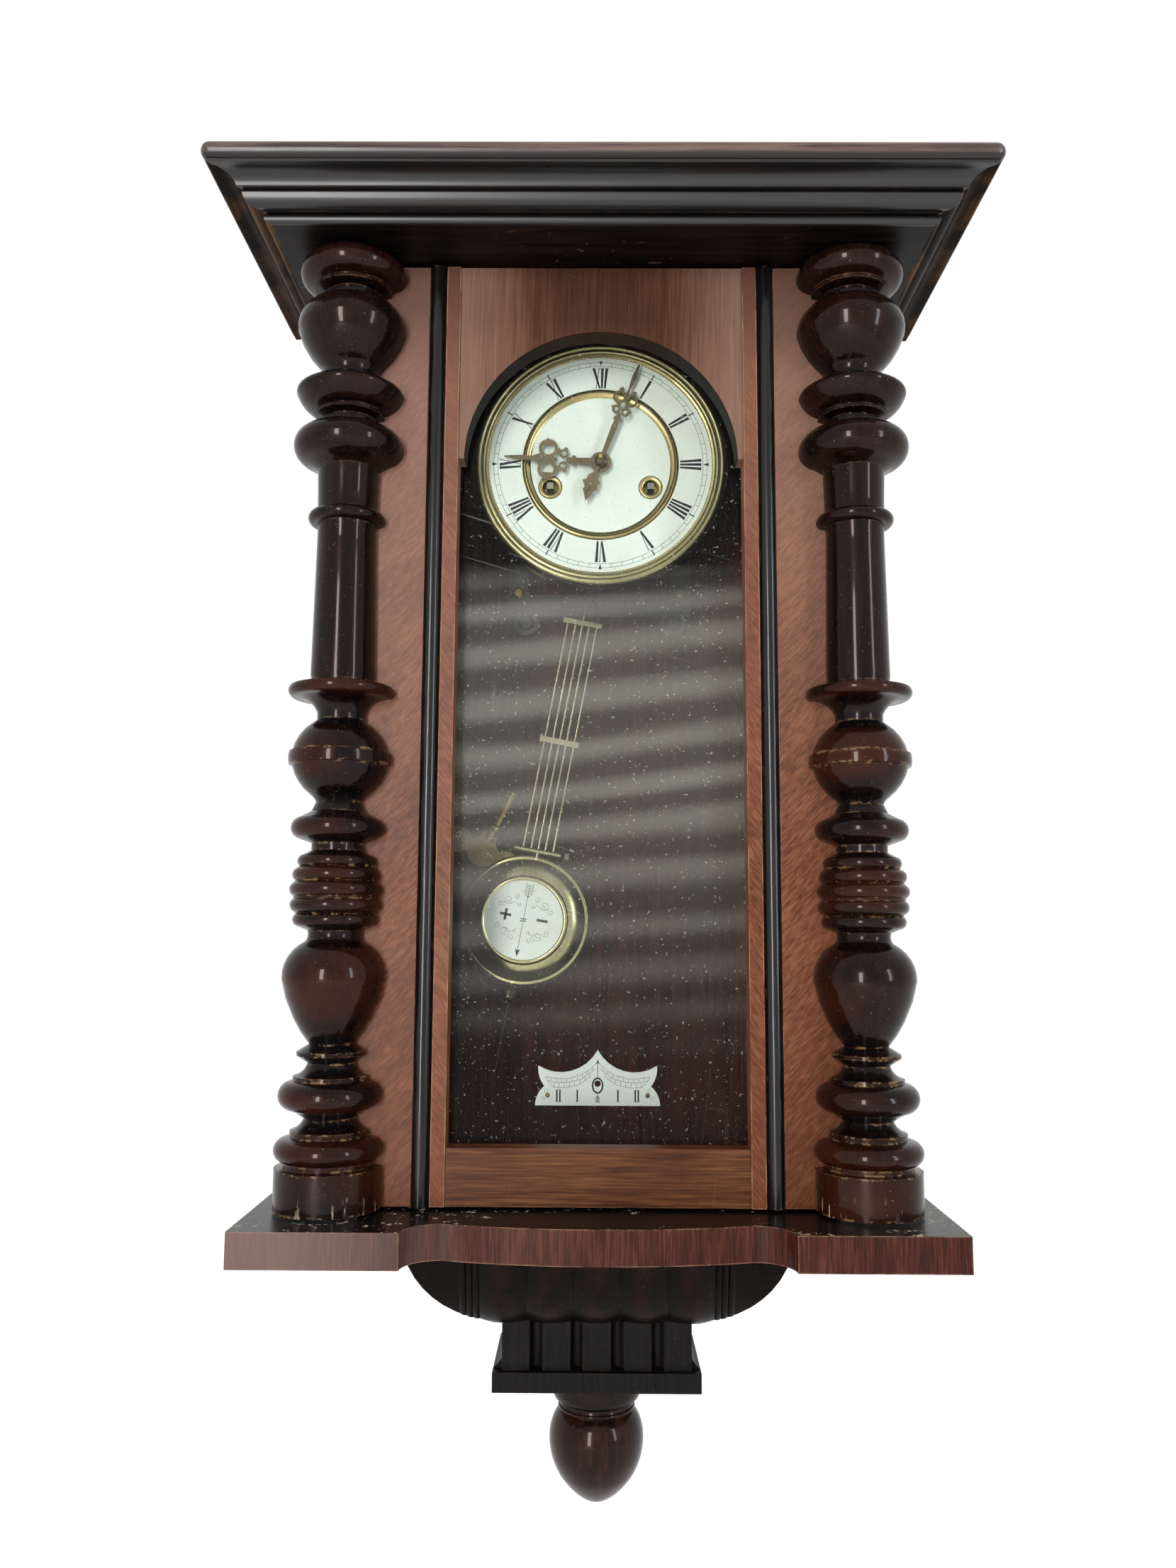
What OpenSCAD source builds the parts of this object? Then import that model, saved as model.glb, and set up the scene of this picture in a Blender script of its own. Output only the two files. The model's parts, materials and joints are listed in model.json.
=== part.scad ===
// Spring driven wall regulator in a column-fronted case with a full-width hinged front.
// Millimetres. The origin is the hole of the hanger plate, in the plane of the wall.
// X runs to the right seen from the front, the front looks along -Y, Z is up.

/* [Case] */
// Outer width of the case box
case_w = 252; // [248:1:256]
// Depth from the wall to the front edges of the case sides
case_d = 99.5; // [97:0.5:104]
// Thickness of the case sides
side_t = 12; // [9:0.5:14]
// Thickness of the backboard
back_t = 12; // [11:0.5:13]
// Height of the soffit above the hanger hole
hanger_drop = 36; // [30:1:44]
// Gap between the door and the boards above and below it
door_gap = 1.5; // [0.8:0.1:2.5]

/* [Cornice] */
// Width of the soffit board
soffit_w = 348; // [342:1:356]
// Depth of the soffit board
soffit_d = 158; // [154:1:164]
// Thickness of the soffit board
soffit_t = 12; // [8:0.5:15]
// Height of the crown moulding
crown_h = 19.3; // [19.3:0.1:22]
// Thickness of the cornice slab
slab_t = 9.5; // [7:0.5:13]
// How far the slab stands out past the crown moulding
slab_over = 3; // [1:0.5:6]

/* [Shelf and bracket] */
// Width of the shelf
shelf_w = 350; // [344:1:360]
// Depth of the shelf at its straight ends
shelf_d = 166.5; // [164:0.5:172]
// Thickness of the shelf
shelf_t = 17.2; // [13:0.2:20]
// Width of the recessed middle of the shelf's front
recess_w = 187; // [170:1:210]
// Radius of the coves at the ends of the recess
cove_r = 18; // [14:0.5:22]
// How far the middle of the shelf's front bellies out
belly = 9.5; // [4:0.5:12]
// Width of one lobe of the fluted bracket
lobe_w = 25.5; // [22:0.5:28]
// Height of the fluted bracket
bowl_h = 54.5; // [46:0.5:60]
// Depth of the fluted bracket under the shelf
bowl_top_d = 88; // [80:1:96]
// Depth of the fluted bracket at its foot
bowl_foot_d = 64; // [58:1:70]
// Height of the dentil block
dentil_h = 26.7; // [22:0.1:32]
// Width of one dentil
dentil_w = 15; // [12:0.5:17]
// Gap between two dentils
dentil_gap = 7.3; // [5:0.1:9]
// Thickness of the drop plate under the dentils
drop_t = 10.4; // [7:0.1:13]
// Greatest radius of the finial
finial_r = 26.5; // [22:0.1:29]
// Length of the finial
finial_h = 67.8; // [60:0.2:76]

/* [Door] */
// Height of the door
door_h = 506; // [500:1:560]
// Thickness of the door boards
door_t = 20; // [18:0.5:23]
// Half width of the glazed opening between the inner strips
opening_r = 78; // [76:0.5:79]
// Width of an inner strip
strip_w = 7.6; // [5:0.2:8]
// Width of an ebonised bead
bead_w = 8.6; // [7:0.2:9]
// Gap between an inner strip and its bead
bead_gap = 1; // [0.4:0.1:1.5]
// Radius of the arch in the top rail
arch_r = 74.5; // [72:0.5:75]
// Height of the bottom rail
bottom_rail_h = 29; // [22:1:40]
// Thickness of the glass
glass_t = 2.5; // [2:0.25:3]
// How far a column's axis stands outside the case side
column_over = 11; // [9:0.5:14]
// How far a column's axis stands in front of the boards
column_out = 3; // [2:0.5:5]
// Height of the hinges
hinge_h = 44; // [32:1:50]
// Radius of the hinge pins
hinge_pin_r = 1.5; // [1.2:0.1:1.8]

/* [Dial and hands] */
// Height of the dial's centre below the hanger hole
dial_drop = 64; // [62:0.5:66]
// Distance of the dial plate's front from the wall
dial_d = 80; // [79:0.5:82]
// Outer radius of the bezel
bezel_r = 73.4; // [72:0.2:74]
// Outer radius of the chapter ring
chapter_r = 66.2; // [64:0.2:67]
// Outer radius of the brass ring around the dial's middle
centre_ring_r = 45.4; // [43:0.2:47]
// Width of that brass ring
centre_ring_w = 4.9; // [4:0.1:6]
// Length of the minute hand from its pivot
minute_len = 62.4; // [58:0.2:64]
// Length of the hour hand from its pivot
hour_len = 55.7; // [50:0.2:57]
// Angle of the minute hand past twelve
minute_angle = 21; // [6:1:60]
// Angle of the hour hand past nine
hour_angle = 3.6; // [0.5:0.1:5]
// Distance of a winding hole from the middle
wind_x = 29; // [28.6:0.2:30]
// Distance of the winding holes below the dial's centre
wind_drop = 13.6; // [13:0.1:15]
// Radius of the round part of a winding arbor
wind_r = 2.65; // [2.5:0.05:2.8]

/* [Movement] */
// Gap between the two movement plates
plate_gap = 26; // [26:0.5:27]
// Thickness of a movement plate
plate_t = 2; // [1.6:0.1:2]
// Radius of the round ends of the movement plates
plate_r = 67; // [66:0.5:68]
// Radial clearance of an arbor in its hole
fit = 0.06; // [0.04:0.01:0.09]
// Radius of a spring barrel
barrel_r = 22; // [19:0.5:22.5]
// Height of a spring barrel
barrel_h = 14; // [12:0.5:14.5]
// Radius of the centre arbor
centre_r = 1.5; // [1.3:0.05:1.7]
// Radius of the thin arbors of the train
arbor_r = 0.9; // [0.8:0.05:1]

/* [Pendulum and key] */
// Distance of the pendulum's plane from the wall
pendulum_d = 37; // [36.5:0.1:38]
// Height of the pendulum's hook pin below the hanger hole
hook_drop = 92; // [88:1:96]
// Lean of the pendulum at rest, in degrees
lean = 10.6; // [0:0.2:13]
// Distance from the hook pin to the middle of the bob
bob_drop = 238.4; // [232:0.2:246]
// Radius of the bob
bob_r = 38; // [34:0.5:39]
// Radius of the bob's enamel disc
disc_r = 23.2; // [20:0.2:25]
// Half distance between the outer pendulum rods
rod_spread = 9; // [8:0.5:10]
// Radius of the pendulum rods
rod_r = 1; // [0.8:0.1:1.2]
// Distance from the hook pin to the tip of the pointer
pointer_drop = 333.3; // [326:0.2:340]
// Distance of the key's hook from the inside of the case side
key_inset = 28.7; // [24:0.1:34]
// Height of the key's hook below the hanger hole
key_drop = 275; // [265:1:285]
// Tilt of the hanging key, in degrees
key_tilt = 27.8; // [15:0.2:35]
// Radius of the hole in the hanger plate
hanger_hole_r = 4; // [3:0.1:5]

/* [Hidden] */
$fn = 64;

// Levels of the case
soffit_z = hanger_drop;
door_top = soffit_z - door_gap;
door_bottom = door_top - door_h;
shelf_top = door_bottom - door_gap;
shelf_bottom = shelf_top - shelf_t;
bowl_bottom = shelf_bottom - bowl_h;
dentil_bottom = bowl_bottom - dentil_h;
drop_bottom = dentil_bottom - drop_t;
inner_w = case_w - 2 * side_t;
column_x = case_w / 2 + column_over;
key_x = inner_w / 2 - key_inset;
back_gap = 0.5;
door_back = case_d + back_gap;
door_front = door_back + door_t;
crown_out = 27;

// Door parts across
strip_r = opening_r + strip_w;
stile_r = strip_r;
stile_edge = column_x - 1;
rail_fit = 0.1;
strip_front = door_front + 1;
strip_back = door_back + 7;
arch_drop = 112.2;
arch_z = door_top - arch_drop;
hinge_x = stile_edge - 2;
hinge_y = -door_back;
hinge_zs = [door_top - 95, door_bottom + 85];
hinge_leaf_w = 26;
knuckle_r = hinge_pin_r * 2;
catch_z = (door_top + door_bottom) / 2;

// Dial and movement levels, as distances from the wall
dial_z = -dial_drop;
front_plate_y = -(dial_d - 5);
back_plate_y = front_plate_y + plate_t + plate_gap;
dial_plate_t = 1;
dial_y = -dial_d;
anchor_z = dial_z + 39.8;

// Gear numbers
barrel_teeth = 80;
centre_leaves = 10;
centre_teeth = 64;
third_leaves = 8;
third_teeth = 60;
escape_leaves = 8;
cannon_teeth = 14;
minute_teeth = 42;
minute_leaves = 12;
hour_teeth = 48;
centre_mod = 0.5;
third_mod = 0.4;
cannon_mod = 0.45;
wind_reach = sqrt(wind_x * wind_x + wind_drop * wind_drop);
barrel_mod = 2 * wind_reach / (barrel_teeth + centre_leaves);
minute_reach = cannon_mod * (cannon_teeth + minute_teeth) / 2;
hour_mod = 2 * minute_reach / (minute_leaves + hour_teeth);
third_reach = centre_mod * (centre_teeth + third_leaves) / 2;
escape_reach = third_mod * (third_teeth + escape_leaves) / 2;
escape_z = 25.8;
escape_tip_r = 11;
third_angle = acos((third_reach * third_reach + escape_z * escape_z - escape_reach * escape_reach)
    / (2 * third_reach * escape_z));
third_x = third_reach * sin(third_angle);
third_z = third_reach * cos(third_angle);
third_dir = 90 - third_angle;
escape_dir = atan2(escape_z - third_z, -third_x);

// Points of an arc from p to q, its rise over half its chord given by bulge, without the last point
function arc(p, q, bulge, n = 5) =
    let (d = q - p, len = norm(d), u = d / len, out = [u[1], -u[0]],
        rise = bulge * len / 2, r = (len * len / 4 + rise * rise) / (2 * rise),
        c = (p + q) / 2 + out * (rise - r), half = 2 * atan(bulge))
    [for (i = [0:n - 1]) let (a = -half + 2 * half * i / n) c + r * (out * cos(a) + u * sin(a))];

// Outline through points [x, y, bulge of the stretch to the next point]; without n, an arc turns by
// turn_step degrees from one edge to the next
turn_step = 13;
function outline(pts, n = 0) =
    [for (i = [0:len(pts) - 2])
        let (p = [pts[i][0], pts[i][1]], q = [pts[i + 1][0], pts[i + 1][1]], b = pts[i][2])
        each (b == 0 ? [p] : arc(p, q, b, n > 0 ? n : ceil(4 * abs(atan(b)) / turn_step))),
        [pts[len(pts) - 1][0], pts[len(pts) - 1][1]]];

// Box from one corner to the opposite one
module block(a, b) translate(a) cube(b - a);

// Flat shape drawn as seen from the front, from depth y towards the front by t
module flat(y, t) translate([0, y, 0]) rotate([90, 0, 0]) linear_extrude(t) children();

// Round rod along Y from y0 to y1
module rod_y(x, z, y0, y1, r) translate([x, max(y0, y1), z]) rotate([90, 0, 0])
    cylinder(h = abs(y1 - y0), r = r);

// Turned shape around an axis along Y, drawn as radius and height towards the front
module turned_y(y) translate([0, y, 0]) rotate([90, 0, 0]) rotate_extrude() children();

module both_sides() {
    children();
    mirror([1, 0, 0]) children();
}

// Gear outline seen from the front, one tooth centred at the angle turn
module gear(teeth, mod, turn, add, ded, root, tip) {
    r = teeth * mod / 2;
    pitch = 360 / teeth;
    ring = [[r - ded * mod, -root], [r + add * mod, -tip], [r + add * mod, tip], [r - ded * mod, root]];
    polygon([for (i = [0:teeth - 1]) for (c = ring) let (a = turn + i * pitch + c[1] * pitch)
        c[0] * [cos(a), sin(a)]]);
}
module wheel_teeth(teeth, mod, turn) gear(teeth, mod, turn, 0.9, 1.2, 0.23, 0.09);
module pinion_teeth(teeth, mod, turn) gear(teeth, mod, turn, 0.7, 1.15, 0.18, 0.1);

// Turn of a driven gear that puts a gap where the driver's tooth points
function meshed(dir, driver_turn, driver_teeth, teeth) =
    dir + 180 + 180 / teeth - (driver_turn - dir) * driver_teeth / teeth;

// Spokes and rim of a train wheel, cut out of its disc
module crossings(r_out, r_in, n, w) {
    difference() {
        circle(r_out);
        circle(r_in);
        for (i = [0:n - 1]) rotate(i * 360 / n) translate([0, -w / 2]) square([r_out + 1, w]);
    }
}

// Case

module hanger_pocket() rod_y(0, 0, 0.5, -9, hanger_hole_r * 2.2);
hanger_w = 52;
hanger_h = 24;
hanger_t = 2;
hanger_screw_x = 19;
frame_w = 92;
frame_bar_h = 14;
frame_drop = 73;
frame_rise = 52;
upright_w = 12;
bracket_screw_x = frame_w / 2 - 1 + upright_w / 2;
bracket_screw_z = dial_z - 58;
bracket_top_z = dial_z + 46;
screw_r = 1.6;
beat_z = shelf_top + 36.5;
beat_w = 75;
beat_pin_x = 30;
beat_t = 1.5;

module backboard() color("#3b2318") difference() {
    block([-inner_w / 2, -back_t, shelf_top], [inner_w / 2, 0, soffit_z]);
    block([-hanger_w / 2, -hanger_t, -hanger_h / 2], [hanger_w / 2, 1, hanger_h / 2]);
    hanger_pocket();
    for (s = [-1, 1]) {
        rod_y(s * hanger_screw_x, 0, 0, -8, screw_r);
        for (z = [bracket_screw_z, bracket_top_z]) rod_y(s * bracket_screw_x, z, -back_t - 1,
            -back_t + 8, screw_r);
        rod_y(s * beat_pin_x, beat_z + 6, -back_t - 1, -back_t + 5, 0.6);
    }
    rod_y(-key_x, -key_drop, -back_t - 1, -back_t + 8, screw_r);
}

module case_sides() color("#4a2a1d") both_sides()
    block([inner_w / 2, -case_d, shelf_top], [case_w / 2, 0, soffit_z]);

module soffit_board() color("#2a1a12")
    block([-soffit_w / 2, -soffit_d, soffit_z], [soffit_w / 2, 0, soffit_z + soffit_t]);

// Section of the crown: u outwards from the soffit board's edge, v upwards
crown_steps = [[0, 0, 0], [1.2, 0, 0.9], [1.2, 5, 0], [4, 5, 0], [4, 6, 0.55], [12.5, 10.2, 0.5],
    [11.5, 12.2, 0], [15, 12.2, 0], [15, 13.2, -0.42], [24.5, 17.8, 0], [crown_out, 17.8, 0],
    [crown_out, crown_h, 0], [0, crown_h, 0]];
module crown_run(length) rotate([90, 0, 90]) linear_extrude(length) polygon(outline(crown_steps, 6));
module mitre_keep(side) translate([soffit_w / 2, -soffit_d, soffit_z - 1]) rotate([0, 0, 45])
    translate([side > 0 ? 0 : -120, -120, 0]) cube([120, 240, crown_h + 2]);

module cornice_front_moulding() color("#1f130d") {
    run = soffit_w + 2 * crown_out;
    difference() {
        translate([-run / 2, -soffit_d, soffit_z]) mirror([0, 1, 0]) crown_run(run);
        both_sides() mitre_keep(1);
    }
}

module cornice_side_mouldings() color("#1f130d") both_sides() {
    run = soffit_d + crown_out;
    difference() {
        translate([soffit_w / 2, 0, soffit_z]) rotate([0, 0, -90]) crown_run(run);
        mitre_keep(-1);
    }
}

module cornice_slab() color("#3a2216") {
    r = slab_t / 2;
    hw = soffit_w / 2 + crown_out + slab_over - r;
    d = soffit_d + crown_out + slab_over - r;
    z = soffit_z + crown_h;
    block([-hw, -d, z], [hw, 0, z + slab_t]);
    translate([-hw, -d, z + r]) rotate([0, 90, 0]) cylinder(h = 2 * hw, r = r);
    both_sides() {
        translate([hw, 0, z + r]) rotate([90, 0, 0]) cylinder(h = d, r = r);
        translate([hw, -d, z + r]) sphere(r);
    }
}

module shelf() color("#6b3023") translate([0, 0, shelf_bottom]) linear_extrude(shelf_t) {
    ledge = recess_w / 2 - cove_r;
    back = -shelf_d + cove_r;
    dip = belly / ledge;
    polygon(outline([[-shelf_w / 2, 0, 0], [-shelf_w / 2, -shelf_d, 0], [-recess_w / 2, -shelf_d,
        -tan(22.5)],
        [-ledge, back, dip], [ledge, back, -tan(22.5)], [recess_w / 2, -shelf_d, 0],
        [shelf_w / 2, -shelf_d, 0], [shelf_w / 2, 0, 0]], 12));
}

// Fluted bracket: lobes and reeds stand out from a face that curves in towards its foot
lobes = 5;
lobe_rise = 4.5;
reeds = 3;
reed_w = 3.5;
reed_rise = 1.2;
lobed_r = lobes * lobe_w / 2;
reeded_r = lobed_r + reeds * reed_w;
bowl_end_r = 60;
bowl_foot_r = 46;
bowl_r = bowl_end_r + bowl_foot_r;
function bump(t) = 1 - pow(2 * (t - floor(t)) - 1, 2);
function relief(x) = abs(x) < lobed_r ? lobe_rise * bump(x / lobe_w + 0.5)
    : abs(x) < reeded_r ? reed_rise * bump((abs(x) - lobed_r) / reed_w) : 0;
lobe_cuts = 6;
reed_cuts = 4;
half_xs = concat([for (i = [1:lobes * lobe_cuts / 2]) i * lobe_w / lobe_cuts],
    [for (i = [1:reeds * reed_cuts]) lobed_r + i * reed_w / reed_cuts], [bowl_r + 2]);
bowl_xs = concat([for (i = [len(half_xs) - 1:-1:0]) -half_xs[i]], [0], half_xs);
bowl_levels = 9;
// The caps fan out from this far behind the wall, so that no reed's flank folds them; the cut takes it off
fan_back = 60;

module fluted_bracket() color("#15100d") {
    nx = len(bowl_xs);
    ring = nx + 3;
    w = bowl_r + 2;
    pts = [for (k = [0:bowl_levels]) let (a = 90 * k / bowl_levels, z = shelf_bottom - bowl_h * sin(a),
            d = bowl_foot_d + (bowl_top_d - bowl_foot_d) * cos(a))
        each concat([[-w, fan_back, z]], [for (x = bowl_xs) [x, -d - relief(x) + lobe_rise, z]],
            [[w, fan_back, z], [0, fan_back, z]])];
    walls = [for (k = [0:bowl_levels - 1]) for (i = [0:ring - 1])
        let (a = k * ring + i, b = k * ring + (i + 1) % ring) each [[a, b, b + ring], [a, b + ring,
            a + ring]]];
    caps = [for (i = [0:ring - 3]) each [[ring - 1, i + 1, i],
        [bowl_levels * ring + ring - 1, bowl_levels * ring + i, bowl_levels * ring + i + 1]]];
    side = [for (a = [0:7.5:90]) [bowl_foot_r + bowl_end_r * cos(a), shelf_bottom - bowl_h * sin(a)]];
    intersection() {
        polyhedron(pts, concat(walls, caps));
        flat(0, bowl_top_d + lobe_rise + 5)
            polygon(concat(side, [for (i = [len(side) - 1:-1:0]) [-side[i][0], side[i][1]]]));
    }
}

module dentil_block() color("#1d1512") {
    n = 5;
    run = n * dentil_w + (n - 1) * dentil_gap;
    hw = run / 2;
    face = bowl_foot_d - lobe_rise;
    core = face - 4;
    flare = 5;
    difference() {
        flat(0, core) polygon(outline([[-hw + 1, bowl_bottom, 0], [-hw + 1,
            bowl_bottom - dentil_h * 0.45, -0.3],
            [-hw - flare, dentil_bottom, 0], [hw + flare, dentil_bottom, -0.3],
            [hw - 1, bowl_bottom - dentil_h * 0.45, 0], [hw - 1, bowl_bottom, 0]], 6));
        for (i = [1:n - 1]) translate([-hw + i * (dentil_w + dentil_gap) - dentil_gap / 2, -core,
            dentil_bottom - 1])
            cylinder(h = dentil_h + 2, r = dentil_gap * 0.45);
    }
    for (i = [0:n - 1]) translate([-hw + i * (dentil_w + dentil_gap), -face, dentil_bottom])
        cube([dentil_w, face - core + 1, dentil_h]);
    block([-hw - flare, -face - 4, drop_bottom], [hw + flare, 0, dentil_bottom]);
}

module finial() color("#3c2117") translate([0, -34, drop_bottom - finial_h]) {
    h = finial_h;
    r = finial_r;
    rotate_extrude() polygon(outline([[0, 0, 0], [r * 0.09, h * 0.006, 0.09], [r * 0.42, h * 0.077, 0.07],
        [r * 0.777, h * 0.226, 0.07], [r * 0.951, h * 0.376, 0.06], [r, h * 0.515, 0.1],
        [r * 0.921, h * 0.671, 0.08], [r * 0.8, h * 0.742, 0], [r * 0.785, h * 0.746, 0.75],
        [r * 0.785, h * 0.782, 0], [r * 0.775, h * 0.796, -0.3], [r * 0.905, h * 0.845, 0.12],
        [r * 0.93, h * 0.907, 0], [r * 0.93, h, 0], [0, h, 0]], 8));
}

module hanger_plate() color("#a98d4f") difference() {
    block([-hanger_w / 2, -hanger_t, -hanger_h / 2], [hanger_w / 2, 0, hanger_h / 2]);
    rod_y(0, 0, 1, -hanger_t - 1, hanger_hole_r);
    both_sides() rod_y(hanger_screw_x, 0, 1, -hanger_t - 1, screw_r);
}

bracket_t = 4;
module case_screws() color("#8f7a4a") {
    both_sides() {
        rod_y(hanger_screw_x, 0, 0, -8, screw_r);
        for (z = [bracket_screw_z, bracket_top_z]) {
            rod_y(bracket_screw_x, z, -back_t + 8, -back_t - bracket_t, screw_r);
            turned_at(bracket_screw_x, z, -back_t - bracket_t) screw_head(3.4);
        }
        rod_y(beat_pin_x, beat_z + 6, -back_t + 5, -back_t - beat_t, 0.6);
        turned_at(beat_pin_x, beat_z + 6, -back_t - beat_t) screw_head(1.4);
    }
}
module turned_at(x, z, y) translate([x, 0, z]) turned_y(y) children();
module screw_head(r) polygon(outline([[0, 0, 0], [r, 0, 0.5], [r * 0.45, r * 0.5, 0], [0, r * 0.5, 0]], 4));

module beat_scale() color("#f2f1ec") difference() {
    flat(-back_t, beat_t) polygon(outline([[0, beat_z + 32.7, -0.434], [-35.7, beat_z + 23.4, 0.2],
        [-32, beat_z + 11.4, 0.22], [-beat_w / 2, beat_z, 0], [beat_w / 2, beat_z, 0.22],
        [32, beat_z + 11.4, 0.2], [35.7, beat_z + 23.4, -0.434], [0, beat_z + 32.7, 0]], 8));
    rod_y(0, beat_z + 12.9, 0, -back_t - beat_t - 1, 1.9);
    both_sides() rod_y(beat_pin_x, beat_z + 6, 0, -back_t - beat_t - 1, 0.6);
}

key_plane = 22;
module key_hook() color("#6f6a60") {
    rod_y(-key_x, -key_drop, -back_t + 8, -key_plane - 5, screw_r);
    turned_at(-key_x, -key_drop, -key_plane - 4) screw_head(2.4);
}

// Iron frame that carries the movement on the backboard
post_spots = [[frame_w / 2 + 4, -36], [frame_w / 2 - 2, 40]];
bar_z = dial_z - frame_drop;
lobe_z = bar_z - 4;
lobe_r = 8;
module movement_bracket() color("#2b2927") difference() {
    union() {
        flat(-back_t, bracket_t) {
            translate([-frame_w / 2, bar_z]) square([frame_w, frame_bar_h]);
            both_sides() {
                translate([frame_w / 2 - 1, bar_z]) square([upright_w, dial_z + frame_rise - bar_z]);
                translate([frame_w / 2, lobe_z]) circle(lobe_r);
            }
        }
        both_sides() {
            for (p = post_spots) rod_y(p[0], dial_z + p[1], -back_t - 0.5, rear_y, 4);
            turned_at(frame_w / 2, lobe_z, -back_t - bracket_t) screw_head(5);
        }
        turned_at(0, bar_z + 9, -back_t - bracket_t) screw_head(4);
    }
    both_sides() for (z = [bracket_screw_z, bracket_top_z]) rod_y(bracket_screw_x, z, 0, -30, screw_r);
}

gong_wire = 1.2;
gong_turns = 8;
gong_step = 3.2;
gong_start = 16;
gong_plane = 22;
function gong_reach(k) = gong_start + gong_step * k;
function gong_mark(k) = k == 0 ? -gong_start : gong_mark(k - 1) + (k % 2 == 1 ? 2 : -2) * gong_reach(k - 1);
module gong() color("#3d4450") translate([0, -gong_plane, dial_z]) rotate([90, 0, 0])
    for (k = [0:gong_turns - 1]) translate([0, (gong_mark(k) + gong_mark(k + 1)) / 2])
        rotate(k % 2 == 0 ? -90 : 90) rotate_extrude(angle = 180) translate([gong_reach(k), 0])
            circle(gong_wire, $fn = 24);
module gong_stand() color("#24211f") {
    end_z = dial_z + gong_mark(gong_turns);
    difference() {
        block([-7, -gong_plane - 5, end_z - 9], [7, -back_t, end_z + 4]);
        block([-8, -gong_plane - gong_wire - fit, end_z - gong_wire],
            [fit, -gong_plane + gong_wire + fit, end_z + 5]);
    }
}

// Hinges: the case leaf and its middle knuckle, the door leaf with the outer knuckles and the pin
leaf_t = 1.4;
knuckle_gap = 0.3;
module case_hinge_leaves() color("#9c8347") for (z = hinge_zs) difference() {
    union() {
        block([case_w / 2, hinge_y + 4, z - hinge_h / 2], [case_w / 2 + leaf_t, hinge_y + 28,
            z + hinge_h / 2]);
        block([case_w / 2, hinge_y + 1.6, z - hinge_h / 6], [hinge_x, hinge_y + 1.6 + leaf_t,
            z + hinge_h / 6]);
        block([case_w / 2, hinge_y + 1.6, z - hinge_h / 6], [case_w / 2 + leaf_t, hinge_y + 5,
            z + hinge_h / 6]);
        translate([hinge_x, hinge_y, z - hinge_h / 6]) cylinder(h = hinge_h / 3, r = knuckle_r);
    }
    translate([hinge_x, hinge_y, z - hinge_h]) cylinder(h = 2 * hinge_h, r = hinge_pin_r + fit);
}
module door_hinge_leaves() color("#9c8347") for (z = hinge_zs) {
    low = hinge_h / 6 + knuckle_gap;
    translate([hinge_x, hinge_y, z - hinge_h / 2 - 1.5]) cylinder(h = hinge_h + 3, r = hinge_pin_r);
    for (s = [0, 1]) mirror([0, 0, s]) translate([0, 0, s ? -z : z]) {
        translate([hinge_x, hinge_y, low]) cylinder(h = hinge_h / 2 - low, r = knuckle_r);
        block([hinge_x - hinge_leaf_w, hinge_y - leaf_t, low], [hinge_x, hinge_y, hinge_h / 2]);
    }
    block([hinge_x - hinge_leaf_w, hinge_y - leaf_t, z - hinge_h / 2], [hinge_x - knuckle_r - 0.5,
        hinge_y, z + hinge_h / 2]);
}
module hinge_recess() for (z = hinge_zs) {
    translate([hinge_x, hinge_y, z - hinge_h / 2 - 2]) cylinder(h = hinge_h + 4, r = knuckle_r + 0.5);
    block([hinge_x - hinge_leaf_w, hinge_y - leaf_t, z - hinge_h / 2], [hinge_x, hinge_y + 1,
        z + hinge_h / 2]);
}

// Spring catch: a stud on the door between two leaves on the left case side
stud_x = case_w / 2 - 17;
stud_r = 2.6;
stud_fit = 0.4;
module catch_clip() color("#a98d4f") translate([-inner_w / 2, 0, catch_z]) {
    y0 = -case_d + 3;
    for (s = [-1, 1]) mirror([0, 0, s < 0 ? 1 : 0])
        block([0, y0, stud_r + stud_fit], [9, y0 + 12, stud_r + stud_fit + 1]);
    block([0, y0 + 11, -stud_r - stud_fit - 1], [9, y0 + 12, stud_r + stud_fit + 1]);
    block([0, y0, -9], [1.2, y0 + 18, 9]);
}
module catch_stud() color("#a98d4f") translate([-stud_x, -door_back, catch_z]) {
    rotate([-90, 0, 0]) cylinder(h = 9, r = 1.4);
    rotate([-90, 0, 0]) cylinder(h = 0.4, r = 4);
    translate([0, 9, 0]) sphere(stud_r);
}

// Door

bead_x = stile_r + bead_gap + bead_w / 2;
bead_d = 3;
module stile() difference() {
    block([stile_r, -door_front, door_bottom], [stile_edge, -door_back, door_top]);
    block([stile_r - 1, -door_front - 1, door_bottom - 1], [bead_x + bead_w / 2, -door_front + bead_d,
        door_top + 1]);
}
module door_left_stile() color("#6e3b27") mirror([1, 0, 0]) stile();
module door_right_stile() color("#6e3b27") difference() {
    stile();
    hinge_recess();
}
module door_top_rail() color("#5f3122") difference() {
    block([-opening_r + rail_fit, -strip_front + 1.2, arch_z + 1.7], [opening_r - rail_fit, -strip_back,
        door_top]);
    rod_y(0, arch_z, 0, -door_front - 5, arch_r);
}
module door_bottom_rail() color("#7a4229")
    block([-opening_r + rail_fit, -strip_front + 1.2, door_bottom], [opening_r - rail_fit, -strip_back,
        door_bottom + bottom_rail_h]);
module door_inner_strips() color("#6e3b27") both_sides()
    block([opening_r, -strip_front, door_bottom], [strip_r, -strip_back, door_top]);
module door_beads() color("#17110e") both_sides() {
    r = bead_w / 2;
    translate([bead_x, -door_front + bead_d, door_bottom]) linear_extrude(door_h)
        polygon(outline([[-r, 0, 0], [-r, -bead_d, 0.62], [r, -bead_d, 0], [r, 0, 0]], 8));
}
module door_glass() color("#9aa4a6", 0.35)
    block([-stile_r + 0.4, -strip_back, door_bottom + 8], [stile_r - 0.4, -strip_back + glass_t,
        door_top - 8]);

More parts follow.
